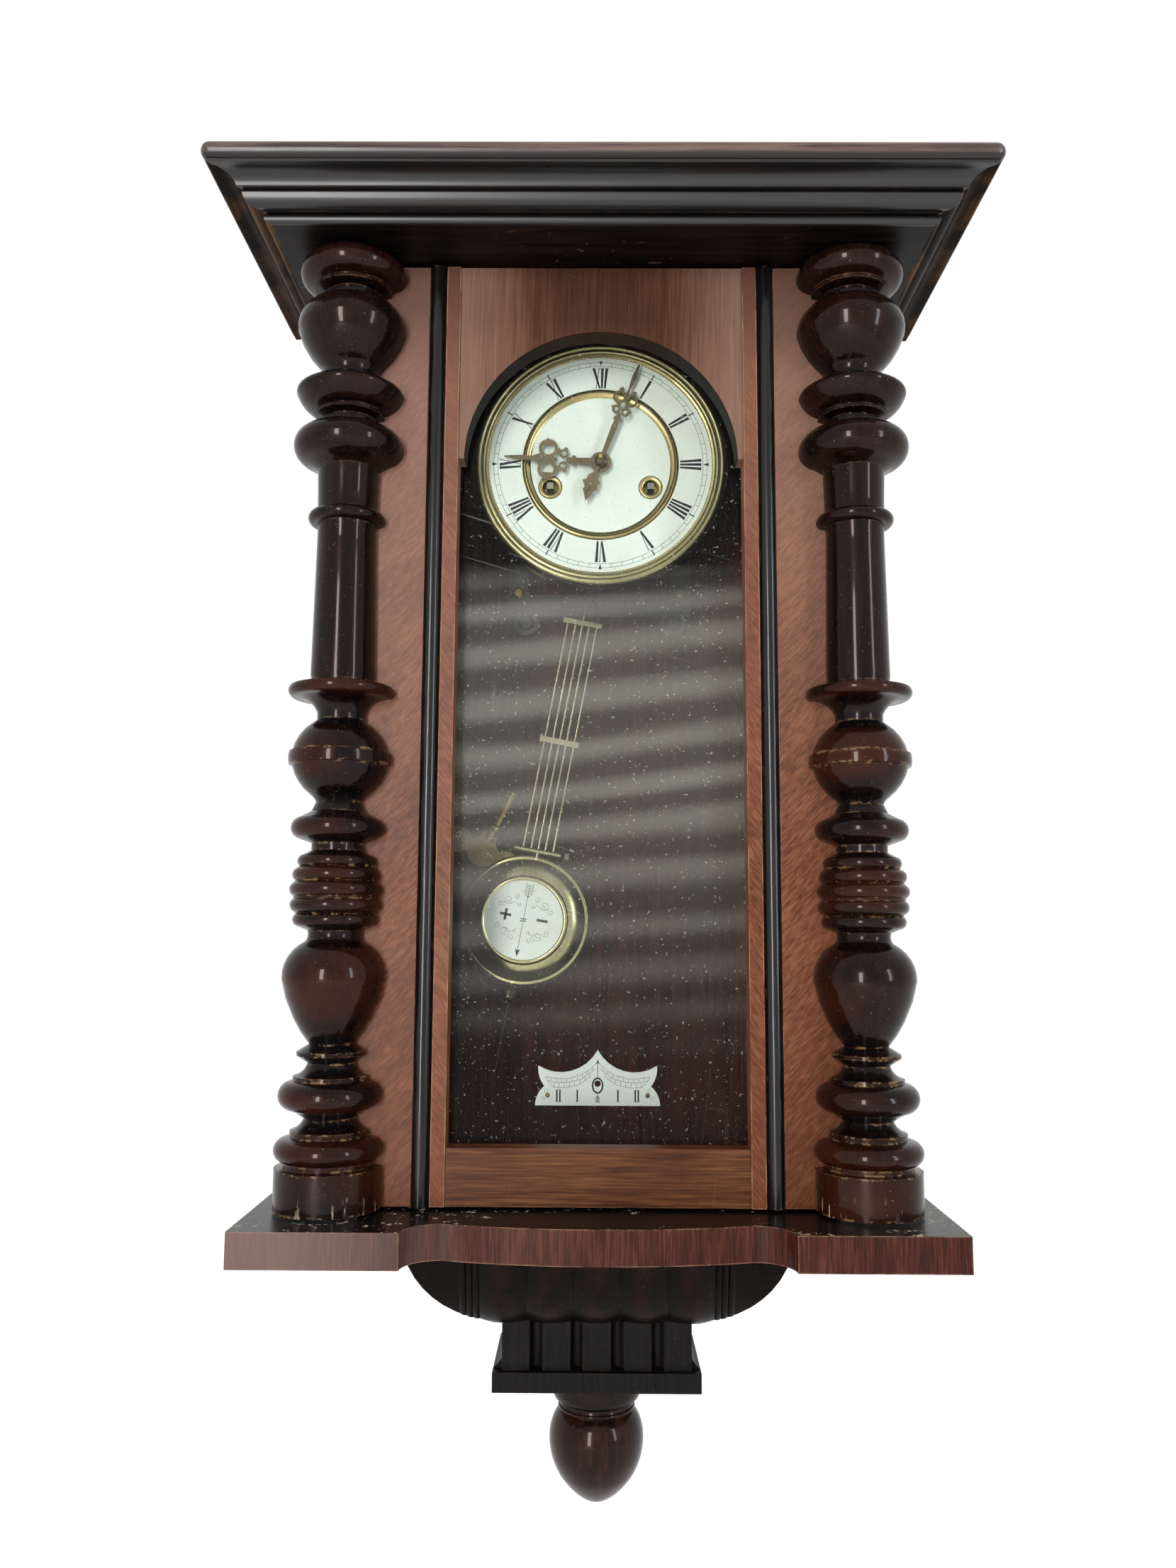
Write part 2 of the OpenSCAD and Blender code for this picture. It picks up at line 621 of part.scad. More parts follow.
// Column outline from its foot: [radius, height, bulge]; what is above the shaft moves with the door's height
shaft_z = 300;
stretch = door_h - 506;
drum_r = 26.8;
column_foot = [[0, 0, 0], [drum_r, 0, 0], [drum_r, 20.5, 0], [22.5, 21, 0], [22.5, 23.5, 0.85], [22.5,
    35, 0],
    [19.6, 35.6, 0], [19.6, 38.6, -0.25], [12.8, 44.5, 0], [17.4, 47.7, 0], [20.5, 49, 0.8], [20.5, 63, 0],
    [18.9, 63.4, 0], [18.9, 65.5, -0.3], [11.8, 72, 0], [17.5, 75.8, 0], [17.5, 77.6, 0], [11.3, 81.4,
        0.06],
    [19.7, 94.5, 0.08], [26.2, 114.5, 0.3], [15, 133.3, -0.3], [14.1, 139, 0], [19.6, 141.2, 0.6],
    [20.2, 147.4, 0], [21, 148.4, 0.6], [21.6, 155.2, 0], [21.8, 156.6, 0.6], [21.6, 163.6, 0],
    [21, 164.6, 0.6], [20, 171.2, 0], [19, 172, 0.6], [17.5, 178, 0], [13.3, 180.2, 0], [13.3, 184, 0],
    [20, 186.4, 0.75], [20, 197.4, 0], [14, 200.6, 0], [11.7, 205.5, -0.15], [14.5, 209.2, 0.18],
    [24.8, 225, 0], [26.3, 225.2, 0.12], [26.3, 231.8, 0], [24.8, 232, 0.2], [14.6, 247.4, 0],
    [12.5, 249, 0], [12.5, 253, -0.35], [25.6, 261, 0.5], [26.9, 266.6, 0], [16.2, 269.4, 0],
    [16.7, 273.4, -0.012]];
column_head = [[15.4, 352.8, 0], [15.8, 355.2, 0], [17.5, 355.4, 0.9], [17.5, 362.2, 0], [16, 362.6, 0],
    [15.8, 367, 0], [16.4, 386.4, 0], [21.5, 389.4, 0.85], [21.5, 408.2, 0], [13.8, 411.4, 0],
    [13.8, 415, 0], [18.6, 416.4, 0], [18.6, 418.6, 0], [20.5, 419, 0.2], [28.3, 427.4, 0.6],
    [26.5, 431.5, 0.12], [15.2, 437.6, -0.3], [17.4, 445, 0.05], [22.6, 451, 0.1], [29.1, 464.6, 0.42],
    [16.4, 481.4, 0], [15.3, 482.6, 0], [15.3, 486.4, 0], [20.9, 488, 0], [20.9, 490, 0],
    [23.5, 491, 0.8], [23.5, 505, 0], [22, 506, 0], [0, 506, 0]];
module column() {
    pts = concat(column_foot, [for (p = column_head) [p[0], p[1] + stretch, p[2]]]);
    translate([column_x, -door_front - column_out, door_bottom]) rotate_extrude($fn = 48)
        polygon(outline(pts));
}
// The quarter of the column where the door's corner stands is cut away, and its back is flush with the boards
module column_seat() {
    far = 60;
    block([column_x - far, -door_front, door_bottom - 1], [stile_edge, 0, door_top + 1]);
    block([column_x - far, -door_back - 0.5, door_bottom - 1], [column_x + far, 0, door_top + 1]);
}
module left_column() color("#2e1a14") mirror([1, 0, 0]) difference() {
    column();
    column_seat();
}
module right_column() color("#2e1a14") difference() {
    column();
    column_seat();
    hinge_recess();
}

// Dial

module at_dial() translate([0, 0, dial_z]) children();
module winding_spots() for (s = [-1, 1]) translate([s * wind_x, -wind_drop]) children();

foot_spots = [[46, 12], [-46, 12], [0, -53]];
module dial_plate() color("#a08a55") at_dial() {
    flat(dial_y + dial_plate_t, dial_plate_t) difference() {
        circle(bezel_r - 1.1);
        circle(4.6);
        winding_spots() circle(5.7);
    }
    for (p = foot_spots) rod_y(p[0], p[1], front_plate_y, dial_y + dial_plate_t, 2);
}
module chapter_ring() color("#f4f3ee") at_dial() flat(dial_y, 2) difference() {
    circle(chapter_r);
    circle(centre_ring_r - 0.4);
}
module dial_centre() color("#f1f0ea") at_dial() flat(dial_y, 1) difference() {
    circle(centre_ring_r - centre_ring_w + 0.5);
    circle(4.6);
    winding_spots() circle(5.7);
}
module dial_bezel() color("#8f8258") at_dial() turned_y(dial_y) {
    o = bezel_r;
    polygon(outline([[o - 0.9, -1, 0], [o, -1, 0], [o, 2.4, 0.35], [o - 2.6, 5.6, 0.3], [o - 4.8, 4.6, 0.5],
        [o - 7.4, 3.4, 0], [o - 8.2, 3.2, 0], [o - 8.2, 2.4, 0], [o - 7, 2.4, 0], [o - 7, 0, 0],
        [o - 0.9, 0, 0]], 5));
}
module dial_brass_rings() color("#b3923f") at_dial() {
    turned_y(dial_y) {
        o = centre_ring_r;
        i = o - centre_ring_w;
        polygon(outline([[o - 0.6, 0, 0], [o - 0.6, 2.05, 0], [o, 2.05, 0.3], [o - 1.6, 3.2, -0.25],
            [i + 1.2, 1.9, 0], [i, 1.05, 0], [i + 0.7, 1.05, 0], [i + 0.7, 0, 0]], 4));
    }
    for (s = [-1, 1]) translate([s * wind_x, 0, -wind_drop]) turned_y(dial_y)
        polygon(outline([[4.4, 0, 0], [5.6, 0, 0], [5.6, 1.1, 0], [7, 1.1, 0.6], [5.4, 2, 0.1], [4.4,
            1.6, 0]], 4));
}

// Movement: positions are seen from the front, relative to the dial's centre

centre_turn = 90;
wheel_level = back_plate_y - 2.4;
pillar_spots = [[52, 26], [-52, 26], [22, -52], [-22, -52]];
hammer_x = -43;
hammer_z = 32;

module plate_outline() intersection() {
    circle(plate_r);
    translate([-62, -57]) square([124, 107]);
}
module arbor_holes(wind) {
    circle(centre_r + fit);
    translate([third_x, third_z]) circle(arbor_r + fit);
    translate([0, escape_z]) circle(arbor_r + fit);
    translate([0, anchor_z - dial_z]) circle(arbor_r + fit);
    translate([hammer_x, hammer_z]) circle(arbor_r + 0.3 + fit);
    winding_spots() circle(wind + fit);
}
module front_plate() color("#b09449") at_dial() {
    flat(front_plate_y + plate_t, plate_t) difference() {
        plate_outline();
        arbor_holes(wind_r);
        for (p = pillar_spots) translate(p) circle(1.9);
    }
    rod_y(0, -minute_reach, front_plate_y + 1, front_plate_y - 3.6, 1);
}
module back_plate() color("#b09449") at_dial() {
    flat(back_plate_y + plate_t, plate_t) difference() {
        plate_outline();
        arbor_holes(1.6);
    }
    for (p = pillar_spots) {
        rod_y(p[0], p[1], back_plate_y + 0.5, front_plate_y + plate_t, 3);
        rod_y(p[0], p[1], back_plate_y, front_plate_y - 1, 1.9);
    }
}

rear_y = back_plate_y + plate_t;
spring_t = 0.3;
spring_top = anchor_z + 11.7;
module suspension_cock() color("#a98d4f") difference() {
    block([-6, rear_y, anchor_z + 4.7], [6, -pendulum_d + 1.5, spring_top + 1.5]);
    block([-spring_t / 2, -pendulum_d - 5, anchor_z + 4], [spring_t / 2, -pendulum_d - 1, spring_top]);
}
module suspension_spring() color("#b9bcc2")
    block([-spring_t / 2, -pendulum_d - 5, anchor_z - 5.6], [spring_t / 2, -pendulum_d - 1, spring_top]);

// Motion work in front of the front plate
cannon_y = front_plate_y - 0.6;
cannon_turn = 90;
minute_turn = meshed(-90, cannon_turn, cannon_teeth, minute_teeth);
hour_turn = meshed(90, 90, minute_leaves, hour_teeth);
pipe_r = 1.9;
nose_r = 1.1;
hour_pipe_r = 3;
hour_hand_y = dial_y - 4.8;
hour_boss_r = 6.1;
hand_t = 0.6;
minute_hand_y = hour_hand_y - 1.8;
collet_h = 3.4;
nose_y = minute_hand_y - hand_t - collet_h - 3.9;
module cannon_pinion() color("#b39a55") at_dial() difference() {
    union() {
        flat(cannon_y, 1.3) pinion_teeth(cannon_teeth, cannon_mod, cannon_turn);
        rod_y(0, 0, cannon_y + 0.3, minute_hand_y - hand_t, pipe_r);
    }
    rod_y(0, 0, 0, minute_hand_y - 5, nose_r + fit);
}
module minute_wheel() color("#b39a55") at_dial() translate([0, 0, -minute_reach]) difference() {
    union() {
        flat(cannon_y, 1.3) wheel_teeth(minute_teeth, cannon_mod, minute_turn);
        flat(cannon_y - 1, 1.9) pinion_teeth(minute_leaves, hour_mod, 90);
    }
    rod_y(0, 0, 0, dial_y, 1 + fit);
}
module hour_wheel() color("#b39a55") at_dial() difference() {
    union() {
        flat(cannon_y - 1.6, 1.2) wheel_teeth(hour_teeth, hour_mod, hour_turn);
        rod_y(0, 0, cannon_y - 1.6, hour_hand_y - hand_t, hour_pipe_r);
    }
    rod_y(0, 0, 0, minute_hand_y, pipe_r + fit);
}

// Pierced hands, drawn pointing up
module ring2(x, y, r_out, r_in) translate([x, y]) difference() {
    circle(r_out);
    circle(r_in);
}
module sides2() {
    children();
    mirror([1, 0]) children();
}
module hour_shape() {
    circle(hour_boss_r);
    polygon([[-2.2, 4], [2.2, 4], [1.5, 20], [-1.5, 20]]);
    polygon([[-1, 37], [1, 37], [1.4, hour_len - 9.5], [0.35, hour_len], [-0.35, hour_len], [-1.4,
        hour_len - 9.5]]);
    polygon([[-3.4, 34.6], [3.4, 34.6], [0.9, 40.5], [-0.9, 40.5]]);
    polygon(outline([[0, 24.8, 0.2], [1.9, 29, -0.1], [0.7, 36, 0], [-0.7, 36, -0.1], [-1.9, 29, 0.2],
        [0, 24.8, 0]], 4));
    sides2() {
        translate([1.8, 15.5]) circle(1.3);
        ring2(3.7, 21.4, 2.7, 1.4);
        translate([6.3, 20.4]) circle(1.2);
        translate([5.2, 24.6]) circle(1.5);
        ring2(6.3, 30.6, 5.6, 3.7);
        polygon([[8, 26.4], [11.4, 27.8], [10.8, 29.4], [12.9, 31.4], [10.6, 32.6], [9.6, 34.8], [8.2,
            34.4]]);
    }
}
module minute_shape() {
    circle(3.6);
    polygon([[-1.2, 2], [1.2, 2], [1.8, 22], [0.9, 31], [-0.9, 31], [-1.8, 22]]);
    polygon([[-1.6, 40.5], [1.6, 40.5], [0.6, 46], [1.4, minute_len - 8], [0.5, minute_len], [-0.5,
        minute_len], [-1.4, minute_len - 8],
        [-0.6, 46]]);
    sides2() {
        translate([1.3, 27]) circle(1.2);
        ring2(2.9, 32.4, 2.5, 1.3);
        polygon([[3.2, 30.2], [6.4, 33.4], [4, 34.6]]);
        translate([2.4, 35.6]) circle(1.3);
        ring2(3.6, 40, 3.9, 2.5);
        translate([3.9, 44.6]) circle(1.5);
    }
    polygon([[-0.7, -3], [0.7, -3], [0.7, -6.5], [2.6, -8.4], [2.2, -10.4], [4.6, -12.6], [3.4, -14.2],
        [4.4, -17],
        [2.4, -18.4], [2.2, -21.6], [0.3, -25.3], [-1.6, -21.8], [-3.6, -19], [-3, -17.6], [-5.6, -14.2],
        [-3.8, -12.8], [-3.6, -10], [-2.2, -8.6], [-0.7, -6.5]]);
}
module hour_hand() color("#6f685a") at_dial() rotate([0, 270 + hour_angle, 0]) {
    flat(hour_hand_y, hand_t) difference() {
        hour_shape();
        circle(hour_pipe_r);
    }
}
module minute_hand() color("#6f685a") at_dial() rotate([0, minute_angle, 0]) {
    flat(minute_hand_y, hand_t) difference() {
        minute_shape();
        circle(pipe_r);
    }
    difference() {
        turned_y(minute_hand_y - hand_t)
            polygon(outline([[0, 0, 0], [3.6, 0, 0], [3.6, 0.6, 0.3], [2, collet_h - 0.4, 0.4], [1.5,
                collet_h, 0],
                [0, collet_h, 0]], 4));
        rod_y(0, 0, 0, nose_y, nose_r + fit);
    }
}

// Going train
module centre_wheel() color("#b39a55") at_dial() {
    rod_y(0, 0, rear_y - 0.2, front_plate_y + 0.2, centre_r);
    rod_y(0, 0, front_plate_y + 0.5, nose_y, nose_r);
    flat(front_plate_y + plate_t + 5.4, 4) pinion_teeth(centre_leaves, barrel_mod, centre_turn);
    flat(wheel_level, 1.2) difference() {
        wheel_teeth(centre_teeth, centre_mod, third_dir);
        crossings(13, 4.5, 4, 2.2);
    }
}
module third_wheel() color("#b39a55") at_dial() translate([third_x, 0, third_z]) {
    rod_y(0, 0, rear_y - 0.4, front_plate_y + 0.4, arbor_r);
    flat(wheel_level + 0.5, 2.2) pinion_teeth(third_leaves, centre_mod, meshed(third_dir, third_dir,
        centre_teeth, third_leaves));
    flat(back_plate_y - 12, 1.2) difference() {
        wheel_teeth(third_teeth, third_mod, escape_dir);
        crossings(9.6, 3, 4, 1.8);
    }
}
module escape_wheel() color("#b39a55") at_dial() translate([0, 0, escape_z]) {
    teeth = 30;
    root_r = escape_tip_r - 2;
    rod_y(0, 0, rear_y - 0.4, front_plate_y + 0.4, arbor_r);
    flat(back_plate_y - 11, 3.4) pinion_teeth(escape_leaves, third_mod, meshed(escape_dir, escape_dir,
        third_teeth, escape_leaves));
    flat(back_plate_y - 18, 1.2) difference() {
        polygon([for (i = [0:teeth - 1]) let (a = i * 360 / teeth)
            each [root_r * [cos(a), sin(a)], escape_tip_r * [cos(a + 3.2), sin(a + 3.2)],
                escape_tip_r * [cos(a + 4.2), sin(a + 4.2)]]]);
        crossings(7.4, 2.6, 4, 1.6);
    }
}
module anchor() color("#a7a9ad") translate([0, 0, anchor_z]) {
    rod_y(0, 0, crutch_end, front_plate_y + 0.4, arbor_r);
    flat(back_plate_y - 17.4, 2.4) polygon([[0, 2.4], [3, 1.6], [9.6, -2.4], [10.8, -7.4], [8.9, -6.4],
        [7.4, -3],
        [2.6, -1.4], [0, -1.8], [-2.6, -1.4], [-7.4, -3], [-8.9, -6.4], [-10.8, -7.4], [-9.6, -2.4], [-3,
            1.6]]);
}
crutch_z = anchor_z - 41;
crutch_end = rear_y + 2.6;
module crutch() color("#8d8f92") {
    difference() {
        rod_y(0, anchor_z, rear_y + 0.4, crutch_end, 2.6);
        rod_y(0, anchor_z, rear_y, rear_y + 4, arbor_r);
    }
    block([-0.9, rear_y + 1.2, crutch_z - 1.2], [0.9, rear_y + 2.4, anchor_z - 2]);
    rod_y(0, crutch_z, rear_y + 2, -pendulum_d - 1.5, 0.8);
}

// A spring barrel with its great wheel at level y, turning on its winding arbor
module barrel_body(y, turn) {
    flat(front_plate_y + plate_t + 5 + barrel_h, barrel_h) difference() {
        circle(barrel_r);
        circle(wind_r + 0.35 + fit);
    }
    flat(y, 2) difference() {
        wheel_teeth(barrel_teeth, barrel_mod, turn);
        circle(wind_r + 0.35 + fit);
    }
}
module time_barrel() color("#b89a4b") at_dial() translate([wind_x, 0, -wind_drop])
    barrel_body(front_plate_y + plate_t + 5, meshed(atan2(-wind_drop, wind_x), centre_turn,
        centre_leaves, barrel_teeth));
module strike_barrel() color("#b89a4b") at_dial() translate([-wind_x, 0, -wind_drop])
    barrel_body(front_plate_y + plate_t + barrel_h + 7, 0);
module winding_arbor(x) at_dial() translate([x, 0, -wind_drop]) {
    square_w = wind_r * 1.4;
    rod_y(0, 0, back_plate_y - 0.3, front_plate_y + plate_t + 0.3, wind_r + 0.35);
    rod_y(0, 0, rear_y, back_plate_y - 1, 1.6);
    rod_y(0, 0, front_plate_y + plate_t + 0.3, front_plate_y - 0.8, wind_r);
    block([-square_w / 2, hour_hand_y + 1, -square_w / 2], [square_w / 2, front_plate_y, square_w / 2]);
}
module time_winding_arbor() color("#8b8c8f") winding_arbor(wind_x);
module strike_winding_arbor() color("#8b8c8f") winding_arbor(-wind_x);

module strike_hammer() color("#8f7a4a") translate([hammer_x, 0, dial_z + hammer_z]) {
    rod_y(0, 0, -gong_plane - 2, front_plate_y + 0.4, arbor_r + 0.3);
    rod_y(0, 0, -gong_plane + 2, -gong_plane - 3, 3);
    block([-1, -gong_plane - 2, -hammer_z - 2], [1, -gong_plane + 1, -2]);
    translate([-7, -gong_plane, -hammer_z]) rotate([0, 90, 0]) cylinder(h = 9, r = 4.4);
}

// Pendulum

leader_y = -pendulum_d - 4.2;
hook_r = 1.2;
module pendulum_leader() color("#a98d4f") {
    difference() {
        union() {
            block([-1.5, leader_y, -hook_drop - 2.4], [1.5, leader_y + 2, anchor_z - 6]);
            block([-2.6, leader_y, crutch_z - 6], [2.6, leader_y + 2, crutch_z + 6]);
            block([-2.5, -pendulum_d - 5.6, anchor_z - 10], [2.5, -pendulum_d - 0.4, anchor_z - 2.8]);
        }
        block([-0.6, -pendulum_d - 7, anchor_z - 6.6], [0.6, -pendulum_d + 1, anchor_z]);
        block([-0.95, leader_y - 1, crutch_z - 3.2], [0.95, leader_y + 3, crutch_z + 3.2]);
    }
    rod_y(0, -hook_drop, leader_y + 1, -pendulum_d + 2, hook_r);
    rod_y(0, -hook_drop, -pendulum_d + 1.4, -pendulum_d + 2, hook_r + 0.9);
}

bar_w = 23.6;
top_bar = 55.9;
mid_bar = 130.2;
low_bar = 197.1;
rod_xs = [-rod_spread, -rod_spread * 0.47, 0, rod_spread * 0.47, rod_spread];
nut_top = bob_drop + bob_r + 0.8;
nut_h = 9.5;
module hung() translate([0, -pendulum_d, -hook_drop]) rotate([0, lean, 0]) children();
module along(z0, z1, r0, r1) translate([0, 0, -z1]) cylinder(h = z1 - z0, r1 = r1, r2 = r0);
module pendulum_rods() color("#8a8578") hung() {
    difference() {
        union() {
            rod_y(0, 0, -1, 1, 3);
            along(2, top_bar, 1.1, 1.1);
        }
        rod_y(0, 0, -3, 3, hook_r + fit);
    }
    block([-bar_w / 2, -1.6, -top_bar - 1.5], [bar_w / 2, 1.6, -top_bar + 1.5]);
    block([-bar_w / 2, -1.6, -mid_bar - 1.7], [bar_w / 2, 1.6, -mid_bar + 1.7]);
    for (x = rod_xs) translate([x, 0, 0]) along(top_bar, low_bar, rod_r, rod_r);
    translate([-15, 0, -low_bar]) rotate([0, 90, 0]) cylinder(h = 30, r = 1.7);
    both_sides() translate([14, 0, -low_bar]) rotate([0, 90, 0]) rotate_extrude()
        polygon([[0, 0], [1.9, 0], [4, 2.6], [3.4, 5], [1.6, 5.8], [0, 5.8]]);
    along(low_bar, nut_top + nut_h, 1.3, 1.3);
    along(nut_top + nut_h, pointer_drop, 1.1, 0.6);
}
module pendulum_bob() color("#9c8a4e") hung() translate([0, 0, -bob_drop]) difference() {
    turned_y(0) polygon(outline([[0, -7, 0], [bob_r - 10, -7, 0.12], [bob_r - 1, -1, 0], [bob_r, -1, 0.6],
        [bob_r - 0.8, 1.4, 0], [bob_r - 2, 1.4, 0.16], [disc_r + 3, 7.2, 0], [disc_r + 2.6, 8.2, 0.4],
        [disc_r, 8.6, 0], [disc_r, 7, 0], [0, 7, 0]], 7));
    translate([0, 0, -bob_r - 1]) cylinder(h = 2 * bob_r + 2, r = 1.3);
}
module bob_disc() color("#f3f2ec") hung() translate([0, 0, -bob_drop]) rod_y(0, 0, -7, -8, disc_r);
module rating_nut() color("#3a352c") hung() difference() {
    translate([0, 0, -nut_top - nut_h]) rotate_extrude() polygon(outline([[0, 0, 0], [3, 0, 0], [4.6,
        1.4, 0.5],
        [5.9, 3.4, 0], [5.9, 6.4, 0.4], [4.4, 8.2, 0], [3, nut_h, 0], [0, nut_h, 0]], 3));
    along(nut_top - 1, nut_top + nut_h + 1, 1.3, 1.3);
}

// Winding key: two ringed wings and a barrel with a square hole
ring_gap = 16.4;
ring_hole_r = 4.3;
ring_out_r = 7.8;
key_wall = 0.9;
module winding_key() color("#8f7d48") translate([-key_x, -key_plane,
    -key_drop - (ring_hole_r - screw_r - 0.1)])
    rotate([0, key_tilt, 0]) translate([ring_gap, 0, 0]) {
        flat(key_wall, 2 * key_wall) difference() {
            union() {
                both_sides() translate([ring_gap, 0]) circle(ring_out_r);
                polygon(outline([[-ring_gap, -5, -0.1], [-8, -4, 0.3], [0, -8.4, 0.3], [8, -4, -0.1],
                    [ring_gap, -5, 0], [ring_gap, 5, 0], [9, 4.6, -0.3], [4, 12, 0], [-4, 12, -0.3],
                    [-9, 4.6, 0], [-ring_gap, 5, 0]], 4));
            }
            both_sides() translate([ring_gap, 0]) circle(ring_hole_r);
        }
        difference() {
            rotate_extrude() translate([0, 8]) polygon(outline([[0, 0, 0], [3, 0, 0], [3.6, 3, 0], [3.6,
                6, 0.7],
                [3.6, 10, 0], [3.2, 10.6, 0], [3.2, 30.6, 0], [3.5, 31, 0], [3.5, 32.3, 0], [0, 32.3,
                    0]], 4));
            block([-1.95, -1.95, 22], [1.95, 1.95, 42]);
        }
    }

backboard();
case_sides();
soffit_board();
cornice_slab();
cornice_front_moulding();
cornice_side_mouldings();
shelf();
fluted_bracket();
dentil_block();
finial();
hanger_plate();
case_screws();
beat_scale();
key_hook();
movement_bracket();
gong_stand();
gong();
case_hinge_leaves();
catch_clip();
front_plate();
back_plate();
suspension_cock();
suspension_spring();
dial_plate();
chapter_ring();
dial_centre();
dial_bezel();
dial_brass_rings();
door_left_stile();
door_right_stile();
door_top_rail();
door_bottom_rail();
door_inner_strips();
door_beads();
door_glass();
left_column();
right_column();
door_hinge_leaves();
catch_stud();
cannon_pinion();
minute_hand();
minute_wheel();
hour_wheel();
hour_hand();
centre_wheel();
third_wheel();
escape_wheel();
time_barrel();
strike_barrel();
time_winding_arbor();
strike_winding_arbor();
anchor();
crutch();
strike_hammer();
pendulum_leader();
pendulum_rods();
pendulum_bob();
bob_disc();
rating_nut();
winding_key();
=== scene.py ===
"""Vienna regulator wall clock: materials, printed details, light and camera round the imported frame.
Metres. The wall is the plane y = 0, the front looks along -Y, Z is up, and the hanger hole is the origin."""
import json
from math import cos, hypot, pi, radians, sin

import bpy
from mathutils import Matrix, Vector

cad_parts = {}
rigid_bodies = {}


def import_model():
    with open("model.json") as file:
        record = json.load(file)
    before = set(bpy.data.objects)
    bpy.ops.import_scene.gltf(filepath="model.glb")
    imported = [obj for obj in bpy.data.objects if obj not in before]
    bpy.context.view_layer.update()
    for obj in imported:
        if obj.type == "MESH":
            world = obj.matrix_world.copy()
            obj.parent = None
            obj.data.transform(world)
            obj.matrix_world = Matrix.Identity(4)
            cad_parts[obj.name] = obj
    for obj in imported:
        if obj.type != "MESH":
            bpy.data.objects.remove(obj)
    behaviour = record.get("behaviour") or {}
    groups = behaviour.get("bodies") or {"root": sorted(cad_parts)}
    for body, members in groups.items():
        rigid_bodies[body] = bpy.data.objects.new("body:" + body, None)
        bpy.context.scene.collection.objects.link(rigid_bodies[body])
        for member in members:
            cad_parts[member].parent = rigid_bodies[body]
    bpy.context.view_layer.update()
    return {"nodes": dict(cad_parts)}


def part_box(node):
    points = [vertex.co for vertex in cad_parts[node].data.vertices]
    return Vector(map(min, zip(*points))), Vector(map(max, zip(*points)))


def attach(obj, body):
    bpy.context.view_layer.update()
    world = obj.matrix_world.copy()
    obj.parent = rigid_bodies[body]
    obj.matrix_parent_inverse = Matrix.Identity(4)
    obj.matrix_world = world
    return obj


for thing in list(bpy.data.objects):
    bpy.data.objects.remove(thing, do_unlink=True)

# Camera: the photograph's place, angle and lens

PLACE = (-0.0026, -0.745, -0.330)
FOCAL_PX, PHOTO_HEIGHT_PX, SENSOR = 1680, 2212, 36
PITCH, YAW, ROLL = radians(6.83), radians(-0.32), radians(0.293)
camera = bpy.data.objects.new("camera", bpy.data.cameras.new("camera"))
bpy.context.scene.collection.objects.link(camera)
forward = Vector((sin(YAW) * cos(PITCH), cos(YAW) * cos(PITCH), sin(PITCH)))
right = Vector((cos(YAW), -sin(YAW), 0))
up = right.cross(forward)
across = cos(ROLL) * right + sin(ROLL) * up
upward = -sin(ROLL) * right + cos(ROLL) * up
turn = Matrix((across, upward, -forward)).transposed()
camera.matrix_world = Matrix.Translation(PLACE) @ turn.to_4x4()
camera.data.sensor_fit = "VERTICAL"
camera.data.sensor_height = SENSOR
camera.data.lens = SENSOR * FOCAL_PX / PHOTO_HEIGHT_PX
camera.data.clip_start = 0.01
bpy.context.scene.camera = camera

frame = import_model()
nodes = frame["nodes"]


# Materials

def colour(r, g, b):
    """Scene colour of an sRGB colour given as 0 to 255."""
    parts = (r / 255, g / 255, b / 255)
    return [c / 12.92 if c <= 0.04045 else ((c + 0.055) / 1.055) ** 2.4 for c in parts] + [1]


